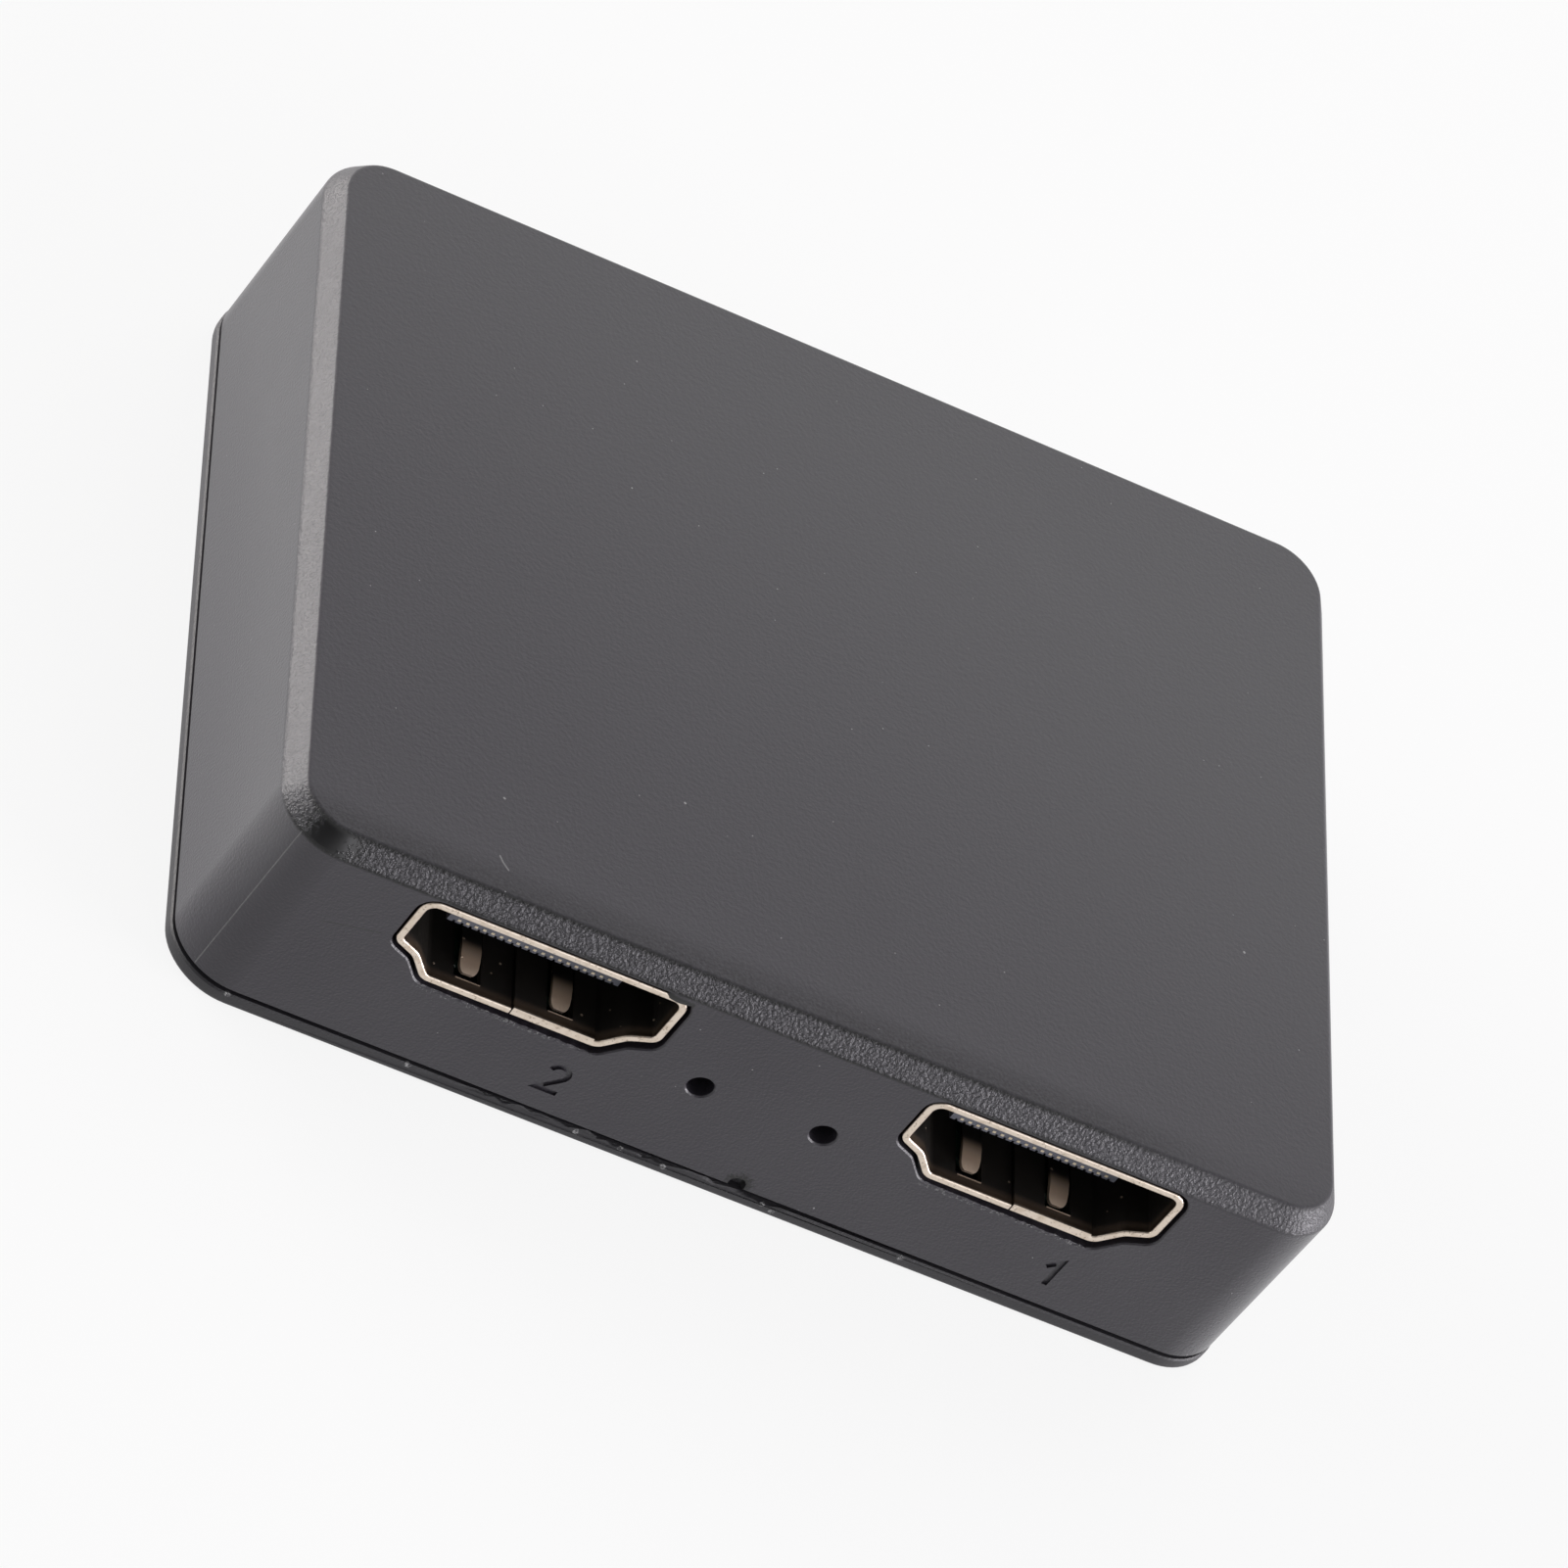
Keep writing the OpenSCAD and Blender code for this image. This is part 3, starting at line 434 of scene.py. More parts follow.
def housingPlastic():
    p = plastic
    finish, shader, place = newFinish("housing_plastic")
    x, y, height = place.axis("X"), place.axis("Y"), place.axis("Z")
    roof = height.step(*p["roofFade"])
    bevel = height.step(*p["bevelFade"]) - roof
    wall = 1 - roof - bevel
    front = y.step(*p["frontFade"])
    left = x.step(*p["leftFade"]) * (1 - roof)
    right = front * wall * x.step(*p["rightFade"])
    roofGrain = place.noise(p["roofGrain"], detail=3.0, rough=0.6)
    bevelGrain = place.noise(p["bevelGrain"]).step(*p["bevelEdge"])
    wallGrain = place.noise(p["wallGrain"])
    cloud = place.noise(p["cloudGrain"])
    side, ahead = cornerPlace(place)
    out = ahead.step(*seam["start"])
    beside = side + (bevelGrain - 0.5) * p["patchRagged"]
    # a smoother, less grainy patch on the bevel; its darkness is a painted dark reflection
    patch = beside.step(*p["patchFrom"]) * beside.step(*p["patchTo"]) * out * bevel
    coarse = front * (1 - p["grainLoss"] * x.step(*p["grainFade"]))
    coarse = (coarse * (1 - p["bevelSide"]) + p["bevelSide"]) * (1 - patch)
    ragged = height + (wallGrain - 0.5) * p["borderRagged"]
    # painted shade along the two edges of the bevel's front
    shadeLines = abs(ragged - p["borderHigh"]).step(p["shadeLine"], 0.0)
    shadeLines = shadeLines + abs(ragged - p["borderLow"]).step(p["shadeLine"], 0.0)
    shadeLines = shadeLines * front * (1 - p["borderLoss"] * x.step(*p["borderFade"]))
    dust = dustOn(place, *p["dust"]).most(dustOn(place, *p["fineDust"]))
    marks = roofMarks(place, wallGrain).most(dust)
    scratch = nearLine(place, *p["scratch"], p["scratchWide"])
    # painted shade in the dent, and painted shadow under the flash
    paintedDark = nearSpot(place, p["paintedDark"], p["paintedDarkSize"], wallGrain)
    paintedDark = paintedDark.most(nearLine(place, *p["flashShadow"], p["flashShadowWide"]))
    mould = abs(side).step(seam["width"], seam["width"] * 0.4) * out * wall * (0.5 + wallGrain)
    burrs = socketBurrs(place, x, height) * y.step(*p["burrWall"])
    relief = roofGrain * roof * p["roofDepth"] + wallGrain * wall * p["wallDepth"]
    relief = relief + bevelGrain * bevel * coarse * p["bevelDepth"] + (mould + dust + burrs) * p["dustHigh"]
    # painted light: paler to the back and right, with a real cloudy tone added below
    pale = (x * p["paintedLightWay"][0] + y * p["paintedLightWay"][1]).step(*p["paleSpan"]) * (1 - p["paleCloud"])
    pale = pale + cloud.step(0.3, 0.7) * p["paleCloud"]
    # painted light on the left side, more of it higher up, and a painted highlight on the right end of the
    # front wall
    pale = pale + left * (p["paintedLightLeft"][0] + p["paintedLightLeft"][1] * height.step(*p["paintedLightLeftZ"]))
    pale = pale + front * bevel * p["paleBevel"] + right * p["paintedHighlightRight"]
    base = pale.mix(p["dark"], p["light"])
    # real marks, together with painted shade: the bevel lines, the dent, the flash's shadow and the patch's
    # dark reflection
    marksAndShade = dict(shadeLine=shadeLines, scratch=scratch, paintedDark=paintedDark.most(patch * p["patchShare"]),
                  burr=burrs, mould=mould, dust=marks)
    for name, mask in marksAndShade.items():
        share, tint = p["tones"][name]
        base = (mask * share).mix(base, grey(tint))
    wallRough = p["wallRough"] - p["cornerSmooth"] * x.step(*p["cornerFade"])
    rough = p["roofRough"] * roof + p["bevelRough"] * bevel + wallRough * wall
    rough = rough + (cloud - 0.5) * p["cloudRough"] + marks * p["markRough"]
    rough = rough + (shadeLines + paintedDark) * p["shadeRough"] - patch * p["patchSmooth"]
    feed(shader, base=base, rough=rough, bump=bumped(relief), specular=p["shine"])
    return finish


coverLook = dict(
    dark=(0.014, 0.013, 0.016, 1), paleSpan=(-22.0, 22.0), pale=0.7, paleCloud=0.15,
    rough=0.50, cloudRough=0.12, cloudGrain=0.15, grain=7.0, depth=0.02,
    flecks=((-26.7, 0.85), (-16.7, 0.80), (-7.12, 0.66), (-4.59, 0.72), (-2.14, 0.62), (3.53, 0.70),
            (4.15, 0.45), (11.5, 0.70)),                  # pale, where the case was prised open
    fleckY=-23.82, fleckSize=0.20, fleckTint=0.30, fleckRough=0.2, fleckHigh=0.03,
)


def coverPlastic():
    c = coverLook
    finish, shader, place = newFinish("cover_plastic")
    cloud = place.noise(c["cloudGrain"])
    fine = place.noise(c["grain"])
    spots = [nearSpot(place, (x, c["fleckY"], z), c["fleckSize"], fine) for x, z in c["flecks"]]
    flecks = spots[0]
    for spot in spots[1:]:
        flecks = flecks.most(spot)
    flecks = flecks * place.noise(6.0, detail=3.0).step(0.38, 0.56)
    pale = place.axis("Y").step(*c["paleSpan"]) * c["pale"] + cloud.step(0.3, 0.7) * c["paleCloud"]
    base = pale.mix(c["dark"], plastic["light"])
    base = flecks.mix(base, grey(c["fleckTint"]))
    rough = c["rough"] + (cloud - 0.5) * c["cloudRough"] + flecks * c["fleckRough"]
    relief = fine * c["depth"] + flecks * c["fleckHigh"]
    feed(shader, base=base, rough=rough, bump=bumped(relief), specular=plastic["shine"])
    return finish


nickel = dict(
    bright=(0.68, 0.59, 0.50, 1), worn=(0.56, 0.47, 0.38, 1),        # the rim
    brownWearAndShade=(0.20, 0.145, 0.105, 1), shadeBlack=(0.017, 0.015, 0.013, 1),   # painted shade inside the mouth; the brown also colours nicks in the rim
    shadeBrownFrom=0.03, shadeBrownTo=0.16, shadeFrom=0.15, shadeTo=0.85,      # how deep the painted shade turns brown, then black
    metal=1.0,
)
spring = dict(
    bright=(0.92, 0.73, 0.57, 1), worn=(0.82, 0.63, 0.47, 1),
    # painted shade on the fingers: brown, then black, where the top rim shades them
    brownWearAndShade=(0.76, 0.57, 0.42, 1), shadeBlack=(0.010, 0.009, 0.008, 1),
    shadeBrownFrom=1.1, shadeBrownTo=1.7, shadeFrom=1.7, shadeTo=3.1,
    metal=0.7,
)


plating = dict(  # what both have in common
    streaks=(6.0, 1.0, 6.0), tarnish=(0.45, 0.72), nicks=(0.60, 0.70), nickShare=0.6,
    specks=(2.2, 0.09, 0.12), speckFrom=(0.6, 1.0), speckShare=0.7, speckTint=(0.42, 0.33, 0.25, 1),
    rough=0.36, streakRough=0.16, tarnishRough=0.08, depth=0.008, speckHigh=0.03,
    dull=0.7,                                                        # how much less metallic it is deep inside
)


def mouthDepth(place):  # how far a place lies behind the mouths, which are flush with the walls
    return mouthPlane - abs(place.axis("Y"))


def socketNickel(name, n):  # plated sheet, dark where little light gets in
    p = plating
    finish, shader, place = newFinish(name)
    streak = place.make("Mapping", {}, {"Vector": place, "Scale": p["streaks"]}).noise(1.5, detail=3.0)
    fine = place.noise(10.0, detail=3.0)
    tarnish = place.noise(1.6, detail=3.0).step(*p["tarnish"])
    depth = mouthDepth(place)
    # painted shade deeper in the mouth, where the sheet is also less metallic
    deep = depth.step(n["shadeFrom"], n["shadeTo"])
    specks = dustOn(place, *p["specks"]) * depth.step(*p["speckFrom"]) * p["speckShare"]
    nicks = place.noise(7.0).step(*p["nicks"]) * p["nickShare"]
    base = tarnish.mix(n["bright"], n["worn"])
    base = nicks.mix(base, n["brownWearAndShade"])
    # painted shade: brown just inside the mouth, then black deeper in
    base = depth.step(n["shadeBrownFrom"], n["shadeBrownTo"]).mix(base, n["brownWearAndShade"])
    base = deep.mix(base, n["shadeBlack"])
    base = specks.mix(base, p["speckTint"])
    rough = p["rough"] + (streak - 0.5) * p["streakRough"] + tarnish * p["tarnishRough"]
    metal = n["metal"] * (1 - deep * p["dull"]) * (1 - specks)
    relief = fine * p["depth"] + specks * p["speckHigh"]
    feed(shader, base=base, rough=rough, metal=metal, bump=bumped(relief))
    return finish


resin = dict(dark=(0.095, 0.100, 0.122, 1), light=(0.125, 0.130, 0.156, 1), rough=0.42, depth=0.003)
gold = dict(bright=(0.82, 0.71, 0.53, 1), worn=(0.76, 0.68, 0.55, 1), rough=0.36, wornRough=0.12, depth=0.002)


def tongueResin():
    finish, shader, place = newFinish("socket_resin")
    cloud = place.noise(1.2)
    base = cloud.step(0.3, 0.7).mix(resin["dark"], resin["light"])
    relief = place.noise(16.0) * resin["depth"]
    feed(shader, base=base, rough=resin["rough"] + (cloud - 0.5) * 0.1, bump=bumped(relief))
    return finish


def contactGold():
    finish, shader, place = newFinish("contact_gold")
    wear = place.noise(5.0, detail=3.0).step(0.4, 0.7)
    base = wear.mix(gold["bright"], gold["worn"])
    rough = gold["rough"] + wear * gold["wornRough"]
    feed(shader, base=base, rough=rough, metal=1.0, bump=bumped(place.noise(20.0) * gold["depth"]))
    return finish


def plainFinish(name, dark, light, rough, metal=0.0, grain=8.0, depth=0.004):  # what is inside the case
    finish, shader, place = newFinish(name)
    cloud = place.noise(grain * 0.2)
    base = cloud.step(0.3, 0.7).mix((*dark, 1), (*light, 1))
    relief = place.noise(grain, detail=3.0) * depth
    feed(shader, base=base, rough=rough + (cloud - 0.5) * 0.12, metal=metal, bump=bumped(relief))
    return finish


def boardMask():  # green solder mask with raised tracks under it
    finish, shader, place = newFinish("board_mask")
    stripes = place.make("TexWave", {"bands_direction": "DIAGONAL"},
                         {"Vector": place, "Scale": 0.35, "Distortion": 3.0})
    track = stripes.step(0.55, 0.65)
    base = track.mix((0.003, 0.014, 0.008, 1), (0.005, 0.022, 0.012, 1))
    feed(shader, base=base, rough=0.32 + place.noise(3.0) * 0.1, bump=bumped(track * 0.03))
    return finish


finishes = dict(
    housing=housingPlastic(), cover=coverPlastic(), resin=tongueResin(), gold=contactGold(),
    nickel=socketNickel("socket_nickel", nickel), spring=socketNickel("spring_nickel", spring),
    screw=plainFinish("screw_steel", (0.46, 0.46, 0.48), (0.60, 0.60, 0.61), 0.34, 1.0),
    board=boardMask(),
    light=plainFinish("light_lens", (0.72, 0.72, 0.66), (0.84, 0.84, 0.78), 0.2),
    chip=plainFinish("chip_epoxy", (0.012, 0.012, 0.013), (0.022, 0.022, 0.024), 0.58),
    can=plainFinish("can_nickel", (0.60, 0.59, 0.56), (0.70, 0.69, 0.66), 0.3, 1.0),
    ferrite=plainFinish("ferrite_grey", (0.040, 0.038, 0.038), (0.065, 0.062, 0.061), 0.7, 0.0, 6.0, 0.012),
    resinCap=plainFinish("capacitor_resin", (0.46, 0.24, 0.035), (0.56, 0.31, 0.055), 0.36),
    ceramic=plainFinish("capacitor_ceramic", (0.27, 0.17, 0.09), (0.34, 0.22, 0.12), 0.55),
    fuse=plainFinish("fuse_resin", (0.012, 0.07, 0.03), (0.02, 0.11, 0.05), 0.4),
)
print("finishes made:", len(finishes))


# socket mouths, shared by the sockets and the openings round them

videoMouth = dict(
    wide=14.0, high=4.55,
    rows=((1.75, 14.0), (1.2, 11.6), (0.0, 9.5)),                      # height and width where the sides turn
    corners=((4.55, 0.50), (1.75, 0.16), (1.2, 0.26), (0.0, 0.20)),    # how much of each corner is rounded off
    sheet=0.4, deep=11.2,
)
powerMouth = dict(
    wide=6.9, high=1.95,
    rows=((0.975, 6.9), (0.0, 5.3)),
    corners=((1.95, 0.28), (0.975, 0.22), (0.0, 0.22)),
    sheet=0.3, deep=5.2,
)


def mouthTube(name, mouth, start, deep, grow=0.0):  # a mouth's outline as an open tube, left in edit mode
    deselect()
    middle = (0, start, mouth["high"] / 2)
    bpy.ops.mesh.primitive_plane_add(size=1, location=middle, rotation=(math.pi / 2, 0, 0))
    bpy.context.object.scale = (mouth["wide"], mouth["high"], 1)
    tube = begun(name)
    for height, width in mouth["rows"]:  # the sides turn in towards the floor
        selectAll()
        if height > 0:
            bpy.ops.mesh.bisect(plane_co=(0, start, height), plane_no=(0, 0, 1))
        pick("VERT", lambda v: abs(v.co.z - height) < tiny)
        bpy.ops.transform.resize(value=(width / mouth["wide"], 1, 1), center_override=(0, start, height))
    pick("EDGE", lambda e: len(e.link_faces) == 2)
    bpy.ops.mesh.dissolve_edges(use_verts=False)
    for height, cut in mouth["corners"]:
        pick("VERT", lambda v: abs(v.co.z - height) < tiny)
        bpy.ops.mesh.bevel(offset=cut, segments=5, affect="VERTICES")
    selectAll()
    extrude(0, deep, 0)
    pick("FACE", lambda f: abs(f.normal.y) > 0.9)
    bpy.ops.mesh.delete(type="ONLY_FACE")
    facesOut()
    if grow:
        bpy.ops.transform.shrink_fatten(value=grow, use_even_offset=True)
    return tube


def capped():  # closes the open ends
    bpy.ops.mesh.select_mode(type="EDGE")
    selectAll()
    bpy.ops.mesh.fill_holes(sides=0)
    facesOut()


# upper housing

housing = dict(
    wall=1.6, roof=1.2, corner=3.5, cornerSteps=16,
    bevelHigh=1.2, bevelIn=0.85,
    soft=0.16, rimSoft=0.12,          # how far the outer edges are rounded off
    gap=0.20, gapShift=(0.07, -0.11), gapBelow=(0.02, 0.20),   # room round a socket, less at its lower left
    notchGap=0.25,
    flare=0.08, raggedCuts=50, ragged=0.05, raggedSeed=4,    # each opening's chamfer and rough lower edge
    holeRadius=0.7, holeSpread=3.5, holeDrop=0.13,
    boss=2.5, bossIn=(5.0, 5.0), bore=1.03, boreDeep=5.0,
    dent=(1.69, -23.84, 1.35), dentSize=(0.95, 1.4, 0.95),             # where a tool slipped at the groove
    flash=(6.75, 0.055, 11.95), flashSize=(1.70, 0.20, 0.62),          # plastic left over a socket's corner
    numeralHigh=1.9, numeralStroke=0.32, numeralDeep=0.14, numeralZ=3.6, numeralIn=4.3,
)
hooks = dict(  # snap hooks of the cover, and the catches they reach into
    x=19.0, y=12.8, wide=4.0, top=4.4, barb=0.5, barbLow=3.4, barbHigh=1.0, fit=0.15,
    catchWide=4.3, catchDeep=0.5, catchLow=3.25, catchHigh=4.55,
)


def hookPlaces():  # the middle of each hook at the inner wall, and the turn that makes it face out
    low, high = nodeBox("upper_housing")
    wall = housing["wall"]
    places = [((x, low.y + wall, 0), math.pi) for x in (hooks["x"], -hooks["x"])]
    for y in (hooks["y"], -hooks["y"]):
        places += [((high.x - wall, y, 0), -math.pi / 2), ((low.x + wall, y, 0), math.pi / 2)]
    return places


def catchCutters():
    half = hooks["catchWide"] / 2
    low, high = (-half, -over, hooks["catchLow"]), (half, hooks["catchDeep"], hooks["catchHigh"])
    return [moved(addBlocks("catch", [(low, high)]), place, turn) for place, turn in hookPlaces()]


def openingCutter(mouth, x):  # a flared cutter for a socket's opening in the front wall
    h = housing
    cutter = mouthTube("opening", mouth, -past, h["wall"] + 2 * past, mouth["sheet"] + h["gap"])
    selectAll()
    bpy.ops.mesh.bisect(plane_co=(0, h["flare"], 0), plane_no=(0, 1, 0))
    pick("VERT", lambda v: v.co.y < tiny - past)
    bpy.ops.transform.shrink_fatten(value=past + h["flare"], use_even_offset=True)
    for side, drop in zip((-1, 1), h["gapBelow"]):  # the socket sits high in its opening, and a little askew
        pick("VERT", lambda v: v.co.z < mouth["rows"][0][0] + 0.4 and v.co.x * side > 0)
        bpy.ops.transform.translate(value=(0, 0, -drop))
    floor = lambda v: v.co.z < -mouth["sheet"] - h["gap"] + 0.1
    pick("EDGE", lambda e: all(floor(v) for v in e.verts) and abs(e.verts[0].co.x - e.verts[1].co.x) > 2)
    bpy.ops.mesh.subdivide(number_cuts=h["raggedCuts"])
    pick("VERT", lambda v: floor(v) and v.co.y < 1 and len(v.link_edges) > 3)
    inOrder()
    bpy.ops.transform.vertex_random(offset=h["ragged"], seed=h["raggedSeed"])
    bpy.ops.mesh.select_more()
    bpy.ops.mesh.quads_convert_to_tris()  # flat faces, which the cut below needs
    capped()
    closeEdit()
    shift = h["gapShift"]
    return moved(cutter, (x + shift[0], nodeBox("upper_housing")[0].y, boardTop + mouth["sheet"] + shift[1]))


def holeCutter(x, z):  # a flared cutter for a light hole
    h = housing
    low = nodeBox("upper_housing")[0]
    cutter = addRod("hole", (x, low.y + h["flare"], z), h["holeRadius"], h["wall"] + past, "Y", 32)
    pick("FACE", lambda f: f.normal.y < -0.9)
    extrude(0, -past - h["flare"], 0)
    wider = (h["holeRadius"] + h["flare"] + past) / h["holeRadius"]
    bpy.ops.transform.resize(value=(wider, 1, wider), center_override=(x, low.y, z))
    closeEdit()
    return cutter


def numeralPath(digit):  # the strokes of a numeral, from its middle
    tall = housing["numeralHigh"] / 2
    if digit == 1:
        return [(-0.45, tall * 0.36, 1), (0.17, tall, 1), (0.17, -tall, 1)]
    bowl = tall * 0.54
    angles = [math.radians(angle) for angle in range(165, -50, -15)]
    path = [(bowl * math.cos(angle), tall - bowl + bowl * math.sin(angle), 1) for angle in angles]
    return path + [(-bowl * 1.1, -tall, 1), (bowl * 1.2, -tall, 1)]


def numeralCutter(digit, x):  # a numeral as one bent bar, half of it in the wall
    h = housing
    bar = ribbon("numeral", numeralPath(digit), 2 * h["numeralDeep"], h["numeralStroke"])
    return moved(bar, (x, nodeBox("upper_housing")[0].y, h["numeralZ"]), -math.pi / 2)


def pebble(name, place, size):  # a rough lump
    deselect()
    bpy.ops.mesh.primitive_ico_sphere_add(subdivisions=3, radius=0.5, location=place, scale=size)
    begun(name)
    selectAll()
    bpy.ops.transform.vertex_random(offset=min(size) * 0.05, seed=3)
    return closeEdit()


def buildHousing():
    h = housing
    low, high = nodeBox("upper_housing")
    body = addBlock("upper_housing_body", low, high)
    pick("EDGE", lambda e: abs(e.verts[0].co.z - e.verts[1].co.z) > 1)
    bevelEdges(h["corner"], h["cornerSteps"])
    pick("FACE", lambda f: f.normal.z > 0.9)
    bpy.ops.mesh.inset(thickness=h["bevelIn"])
    pick("VERT", lambda v: v.co.z > high.z - tiny and any(abs(f.normal.z) < 0.1 for f in v.link_faces))
    bpy.ops.transform.translate(value=(0, 0, -h["bevelHigh"]))
    pick("FACE", lambda f: f.normal.z < -0.9)
    bpy.ops.mesh.inset(thickness=h["wall"])
    extrude(0, 0, high.z - h["roof"] - low.z)
    for height in (high.z, high.z - h["bevelHigh"]):
        pick("EDGE", lambda e: levelEdge(e, height))
        bevelEdges(h["soft"], 3)
    pick("EDGE", lambda e: levelEdge(e, low.z) and any(
        f.normal.dot(f.calc_center_median()) > 1 and abs(f.normal.z) < 0.1 for f in e.link_faces))
    bevelEdges(h["rimSoft"], 2)
    closeEdit()
    bosses, bores = [], []
    for x in (high.x - h["bossIn"][0], low.x + h["bossIn"][0]):
        for y in (high.y - h["bossIn"][1], low.y + h["bossIn"][1]):
            addRod("boss", (x, y, boardTop), h["boss"], high.z - h["roof"] + sink - boardTop)
            bosses.append(closeEdit())
            addRod("bore", (x, y, boardTop - over), h["bore"], h["boreDeep"] + over, steps=24)
            bores.append(closeEdit())
    combine(body, joined(bosses), "UNION")
    cutters = bores + [openingCutter(videoMouth, x) for x in outputX]
    cutters += [holeCutter(x, lightZ - h["holeDrop"]) for x in (h["holeSpread"], -h["holeSpread"])]
    cutters += [numeralCutter(1, outputX[0] + h["numeralIn"]), numeralCutter(2, outputX[1] + h["numeralIn"])]
    gap = h["notchGap"]
    for node in ("input_shell", "power_shell"):  # notches in the back wall
        shellLow, shellHigh = nodeBox(node)
        notchLow = (shellLow.x - gap, high.y - h["wall"] - over, low.z - over)
        notchHigh = (shellHigh.x + gap, high.y + over, shellHigh.z + gap)
        cutters.append(addBlocks("notch", [(notchLow, notchHigh)]))
    combine(body, joined(cutters + catchCutters()), "DIFFERENCE")
    combine(body, pebble("dent", h["dent"], h["dentSize"]), "DIFFERENCE")
    flash = (outputX[1] + h["flash"][0], low.y + h["flash"][1], h["flash"][2])
    combine(body, pebble("flash", flash, h["flashSize"]), "UNION")
    return finishPiece(body, finishes["housing"], "housing_plastic", "upper_housing")


buildHousing()
print("upper housing built")


# bottom cover

cover = dict(
    edge=0.87, bottomBevel=0.3, corner=3.55, cornerSteps=16, soft=0.09,
    groove=(0.65, 0.23), plug=(1.15, 0.5), lip=(1.0, 1.0),     # how far in, and how high
    post=1.5, postIn=5.6,
    tabTop=0.25, tabGap=0.1,
    wornFrom=-13.0, wornTo=4.2, wornCuts=220, wornIn=0.08, wornBy=0.08, wornSeed=5,
    tears=20, tearDeep=0.16, tearHalf=0.2, tearSeed=11,
)


def snapHook():  # an arm with a barb that faces +Y, standing on the cover's floor
    c = cover
    half, back = hooks["wide"] / 2, -hooks["fit"] - c["lip"][0]
    floor = c["edge"] + c["groove"][1] + c["plug"][1]
    addBlock("hook", (-half, back, floor - sink), (half, -hooks["fit"], hooks["top"]))
    for height in (hooks["barbLow"], hooks["barbLow"] + hooks["barbHigh"] / 4):
        selectAll()
        bpy.ops.mesh.bisect(plane_co=(0, 0, height), plane_no=(0, 0, 1))
    pick("FACE", lambda f: f.normal.y > 0.9 and f.calc_center_median().z > hooks["barbLow"])
    extrude(0, hooks["barb"], 0)
    pick("VERT", lambda v: v.co.z > hooks["top"] - tiny and v.co.y > 0)  # the barb's top leans back to the arm
    bpy.ops.transform.translate(value=(0, -hooks["barb"] + 0.02, 0))
    facesOut()
    return closeEdit()


def wearEdge(low):  # the front edge, rough where the case was prised open
    c = cover
    pick("EDGE", lambda e: abs(e.verts[0].co.x - e.verts[1].co.x) > 20 and all(
        v.co.y < low.y + c["soft"] + tiny and v.co.z > c["edge"] - c["soft"] - tiny for v in e.verts))
    bpy.ops.mesh.subdivide(number_cuts=c["wornCuts"])
    worn = lambda v: (c["wornFrom"] < v.co.x < c["wornTo"]
                      and v.co.y < low.y + 0.2 and v.co.z > c["edge"] - 0.1)
    pick("VERT", worn)
    bpy.ops.transform.translate(value=(0, c["wornIn"], 0))
    bpy.ops.transform.vertex_random(offset=c["wornBy"], seed=c["wornSeed"])
    dice = random.Random(c["tearSeed"])
    spots = [dice.uniform(c["wornFrom"], c["wornTo"]) for tear in range(c["tears"])]
    pick("VERT", lambda v: worn(v) and any(abs(v.co.x - spot) < c["tearHalf"] for spot in spots))
    bpy.ops.transform.translate(value=(0, 0, -c["tearDeep"]))


def backTab(mouth, x, outer):  # fills the lower part of a back notch, cut out for the socket
    c, wall = cover, housing["wall"]
    half = mouth["wide"] / 2 + mouth["sheet"] + c["tabGap"]
    floor = boardTop + mouth["sheet"]
    tabLow = (x - half, outer - wall, c["edge"] - sink)
    tab = addBlocks("tab", [(tabLow, (x + half, outer, floor + mouth["rows"][0][0]))])
    mouthTube("cut", mouth, -past, wall + 2 * past, mouth["sheet"] + c["tabTop"])
    capped()
    combine(tab, moved(closeEdit(), (x, outer - wall, floor)), "DIFFERENCE")
    return tab


def buildCover():
    c = cover
    low, high = nodeBox("bottom_cover")
    wallLow, wallHigh = nodeBox("upper_housing")
    body = addBlock("bottom_cover_body", low, (high.x, high.y, low.z + c["edge"]))
    pick("EDGE", lambda e: abs(e.verts[0].co.z - e.verts[1].co.z) > 0.5)
    bevelEdges(c["corner"], c["cornerSteps"])
    pick("EDGE", lambda e: levelEdge(e, low.z))
    bevelEdges(c["bottomBevel"], 3)
    pick("EDGE", lambda e: levelEdge(e, c["edge"]))
    bevelEdges(c["soft"], 1)
    pick("FACE", lambda f: f.normal.z > 0.9)
    bpy.ops.mesh.inset(thickness=c["groove"][0] - c["soft"])
    extrude(0, 0, c["groove"][1])
    bpy.ops.mesh.inset(thickness=c["plug"][0])
    extrude(0, 0, c["plug"][1])
    extrude(0, 0, c["lip"][1])
    bpy.ops.mesh.inset(thickness=c["lip"][0])
    extrude(0, 0, -c["lip"][1])
    wearEdge(low)
    closeEdit()
    hook = snapHook()
    adds = [moved(copied(hook, "hook"), place, turn) for place, turn in hookPlaces()]
    bpy.data.objects.remove(hook)
    floor = c["edge"] + c["groove"][1] + c["plug"][1]
    inFront, inBack = wallLow.y + housing["wall"] + c["postIn"], wallHigh.y - housing["wall"] - c["postIn"]
    for x, y in ((outputX[0], inFront), (outputX[1], inFront), (inputX, inBack), (powerX, inBack)):
        addRod("post", (x, y, floor - sink), c["post"], boardLow.z - floor + sink)
        adds.append(closeEdit())
    for mouth, x in ((videoMouth, inputX), (powerMouth, powerX)):
        adds.append(backTab(mouth, x, wallHigh.y))
    combine(body, joined(adds), "UNION")
    return finishPiece(body, finishes["cover"], "cover_plastic", "bottom_cover")


buildCover()
print("bottom cover built")


# sockets, modelled with the mouth at y = 0 and the mouth's floor at z = 0

